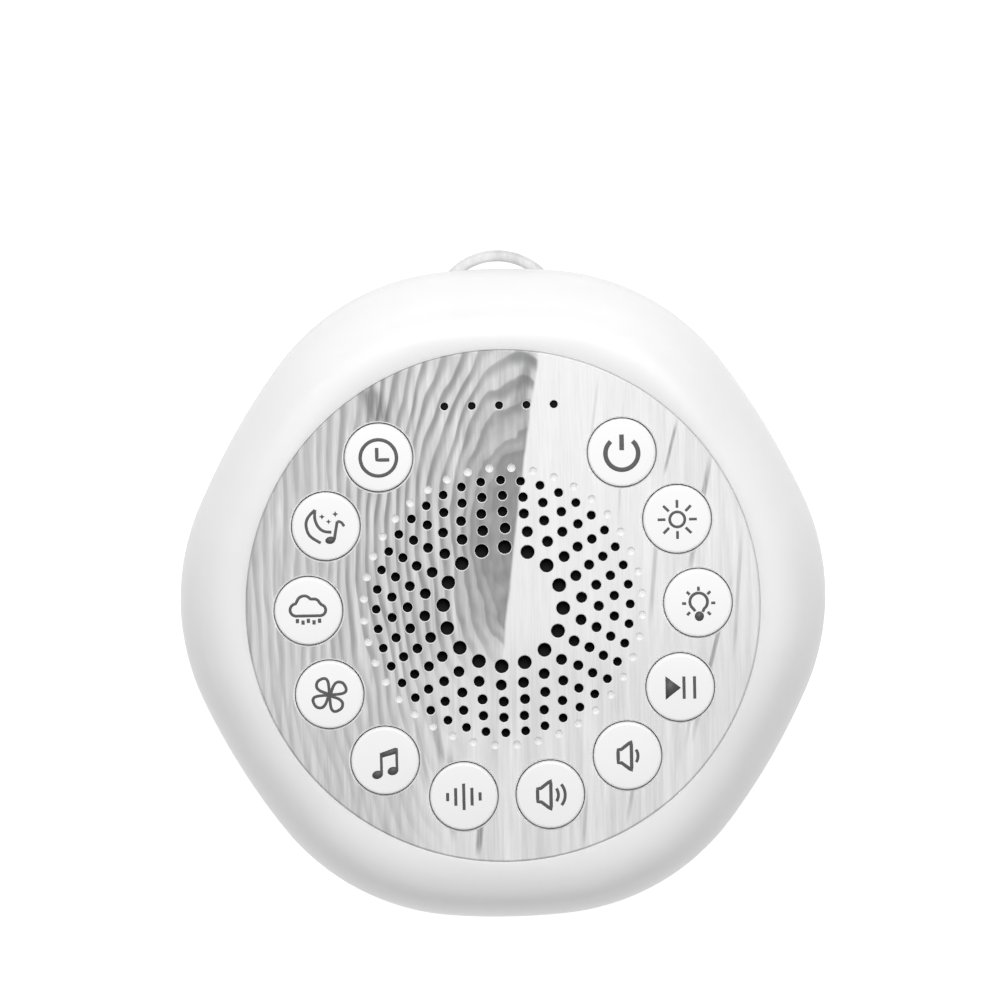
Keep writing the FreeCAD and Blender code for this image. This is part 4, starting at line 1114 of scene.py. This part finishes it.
ICONS = {
    "lamp": lamp_icon, "sun": sun_icon, "power": power_icon, "clock": clock_icon, "moon": moon_icon,
    "rain": rain_icon, "fan": fan_icon, "music": music_icon, "sound_wave": sound_wave_icon,
    "volume_up": volume_up_icon, "volume_down": volume_down_icon, "play_pause": play_pause_icon,
}


def make_icon(name):
    """Joins the parts of a sign, each a hair above the last, and lays them on the domed cap."""
    whole = bmesh.new()
    for order, part in enumerate(ICONS[name]()):
        part.transform(Matrix.Translation((0, 0, order * INK_STEP)))
        whole.from_mesh(part)
        bpy.data.meshes.remove(part)
    mesh = bpy.data.meshes.new(name + "_icon")
    whole.to_mesh(mesh)
    whole.free()
    flat = BUTTON_RADIUS - BUTTON_SHOULDER
    for vertex in mesh.vertices:
        away = math.hypot(vertex.co.x, vertex.co.y) / flat
        vertex.co.z += BUTTON_TOP_Z - BUTTON_DOME * away * away
    mesh.transform(Matrix.Translation(button_centre(name)))
    new_piece(name + "_icon", mesh, icon_ink, name + "_button_body")


for name in BUTTONS:
    make_icon(name)

# %% [markdown]
# A pale floor, a soft sky and three soft lamps give the even product light: the strongest hangs
# past the top edge, one is at the left, and a weak one fills from the lower edge. The camera looks
# down from just past straight above, from a long way off, and is turned a little, so the machine
# lies slightly askew in the picture.

# %% Floor, light and camera
def make_floor():
    reach, low = 3.0, -0.02 * MM
    corners = [(-reach, -reach, low), (reach, -reach, low), (reach, reach, low), (-reach, reach, low)]
    mesh = mesh_of("floor", corners, [(0, 1, 2, 3)])
    floor = put_in_scene("floor", mesh)
    material, tree, shader = new_material("pale floor", 0.9)
    shader.inputs["Base Color"].default_value = (0.2, 0.2, 0.2, 1)
    shader.inputs["Emission Color"].default_value = (1, 1, 1, 1)
    shader.inputs["Emission Strength"].default_value = 0.98
    mesh.materials.append(material)


def add_lamp(name, place, target, size, power):
    data = bpy.data.lights.new(name, "AREA")
    data.shape = "DISK"
    data.size = size
    data.energy = power
    lamp = put_in_scene(name, data)
    lamp.location = place
    lamp.rotation_euler = (Vector(target) - Vector(place)).to_track_quat("-Z", "Y").to_euler()


make_floor()
add_lamp("top lamp", (0.03, 0.24, 0.48), (0, 0, 0.03), 0.26, 1.95)
add_lamp("low fill", (0.0, -0.7, 0.35), (0, 0, 0.02), 0.5, 0.5)
add_lamp("left lamp", (-0.55, 0.45, 0.75), (0, 0, 0.03), 0.12, 0.9)
world = bpy.data.worlds.new("soft sky")
world.use_nodes = True
sky = world.node_tree.nodes["Background"]
sky.inputs["Color"].default_value = (1, 1, 1, 1)
sky.inputs["Strength"].default_value = 0.28
bpy.context.scene.world = world
bpy.context.scene.view_settings.view_transform = "Standard"

TARGET_HEIGHT = 26 * MM
CAMERA_DISTANCE = 1.2
CAMERA_TILT = 0.1
CAMERA_ROLL = 0.0208
PIXELS_PER_MM = 5.818
PICTURE_SIZE = 1000
PICTURE_CENTRE = (502.9, 592.3)
SENSOR_WIDTH = 36.0


def make_camera():
    target = Vector((0, 0, TARGET_HEIGHT))
    backwards = Vector((0, math.sin(CAMERA_TILT), math.cos(CAMERA_TILT)))
    level_up = Vector((0, math.cos(CAMERA_TILT), -math.sin(CAMERA_TILT)))
    level_right = Vector((1, 0, 0))
    turn, lean = math.cos(CAMERA_ROLL), math.sin(CAMERA_ROLL)
    right = level_right * turn - level_up * lean
    up = level_right * lean + level_up * turn
    place = target + backwards * CAMERA_DISTANCE
    across = (PICTURE_SIZE / 2 - PICTURE_CENTRE[0]) / PIXELS_PER_MM * MM
    above = (PICTURE_CENTRE[1] - PICTURE_SIZE / 2) / PIXELS_PER_MM * MM
    aim = target + right * across + up * above
    away = (place - aim).normalized()
    up = (up - away * up.dot(away)).normalized()
    right = up.cross(away)
    data = bpy.data.cameras.new("camera")
    data.sensor_width = SENSOR_WIDTH
    data.lens = PIXELS_PER_MM * 1000 * CAMERA_DISTANCE * SENSOR_WIDTH / PICTURE_SIZE
    data.clip_end = 20
    camera = put_in_scene("camera", data)
    camera.matrix_world = Matrix((
        (right.x, up.x, away.x, place.x), (right.y, up.y, away.y, place.y),
        (right.z, up.z, away.z, place.z), (0, 0, 0, 1)))
    bpy.context.scene.camera = camera
    print("lens", round(data.lens, 1))


make_camera()
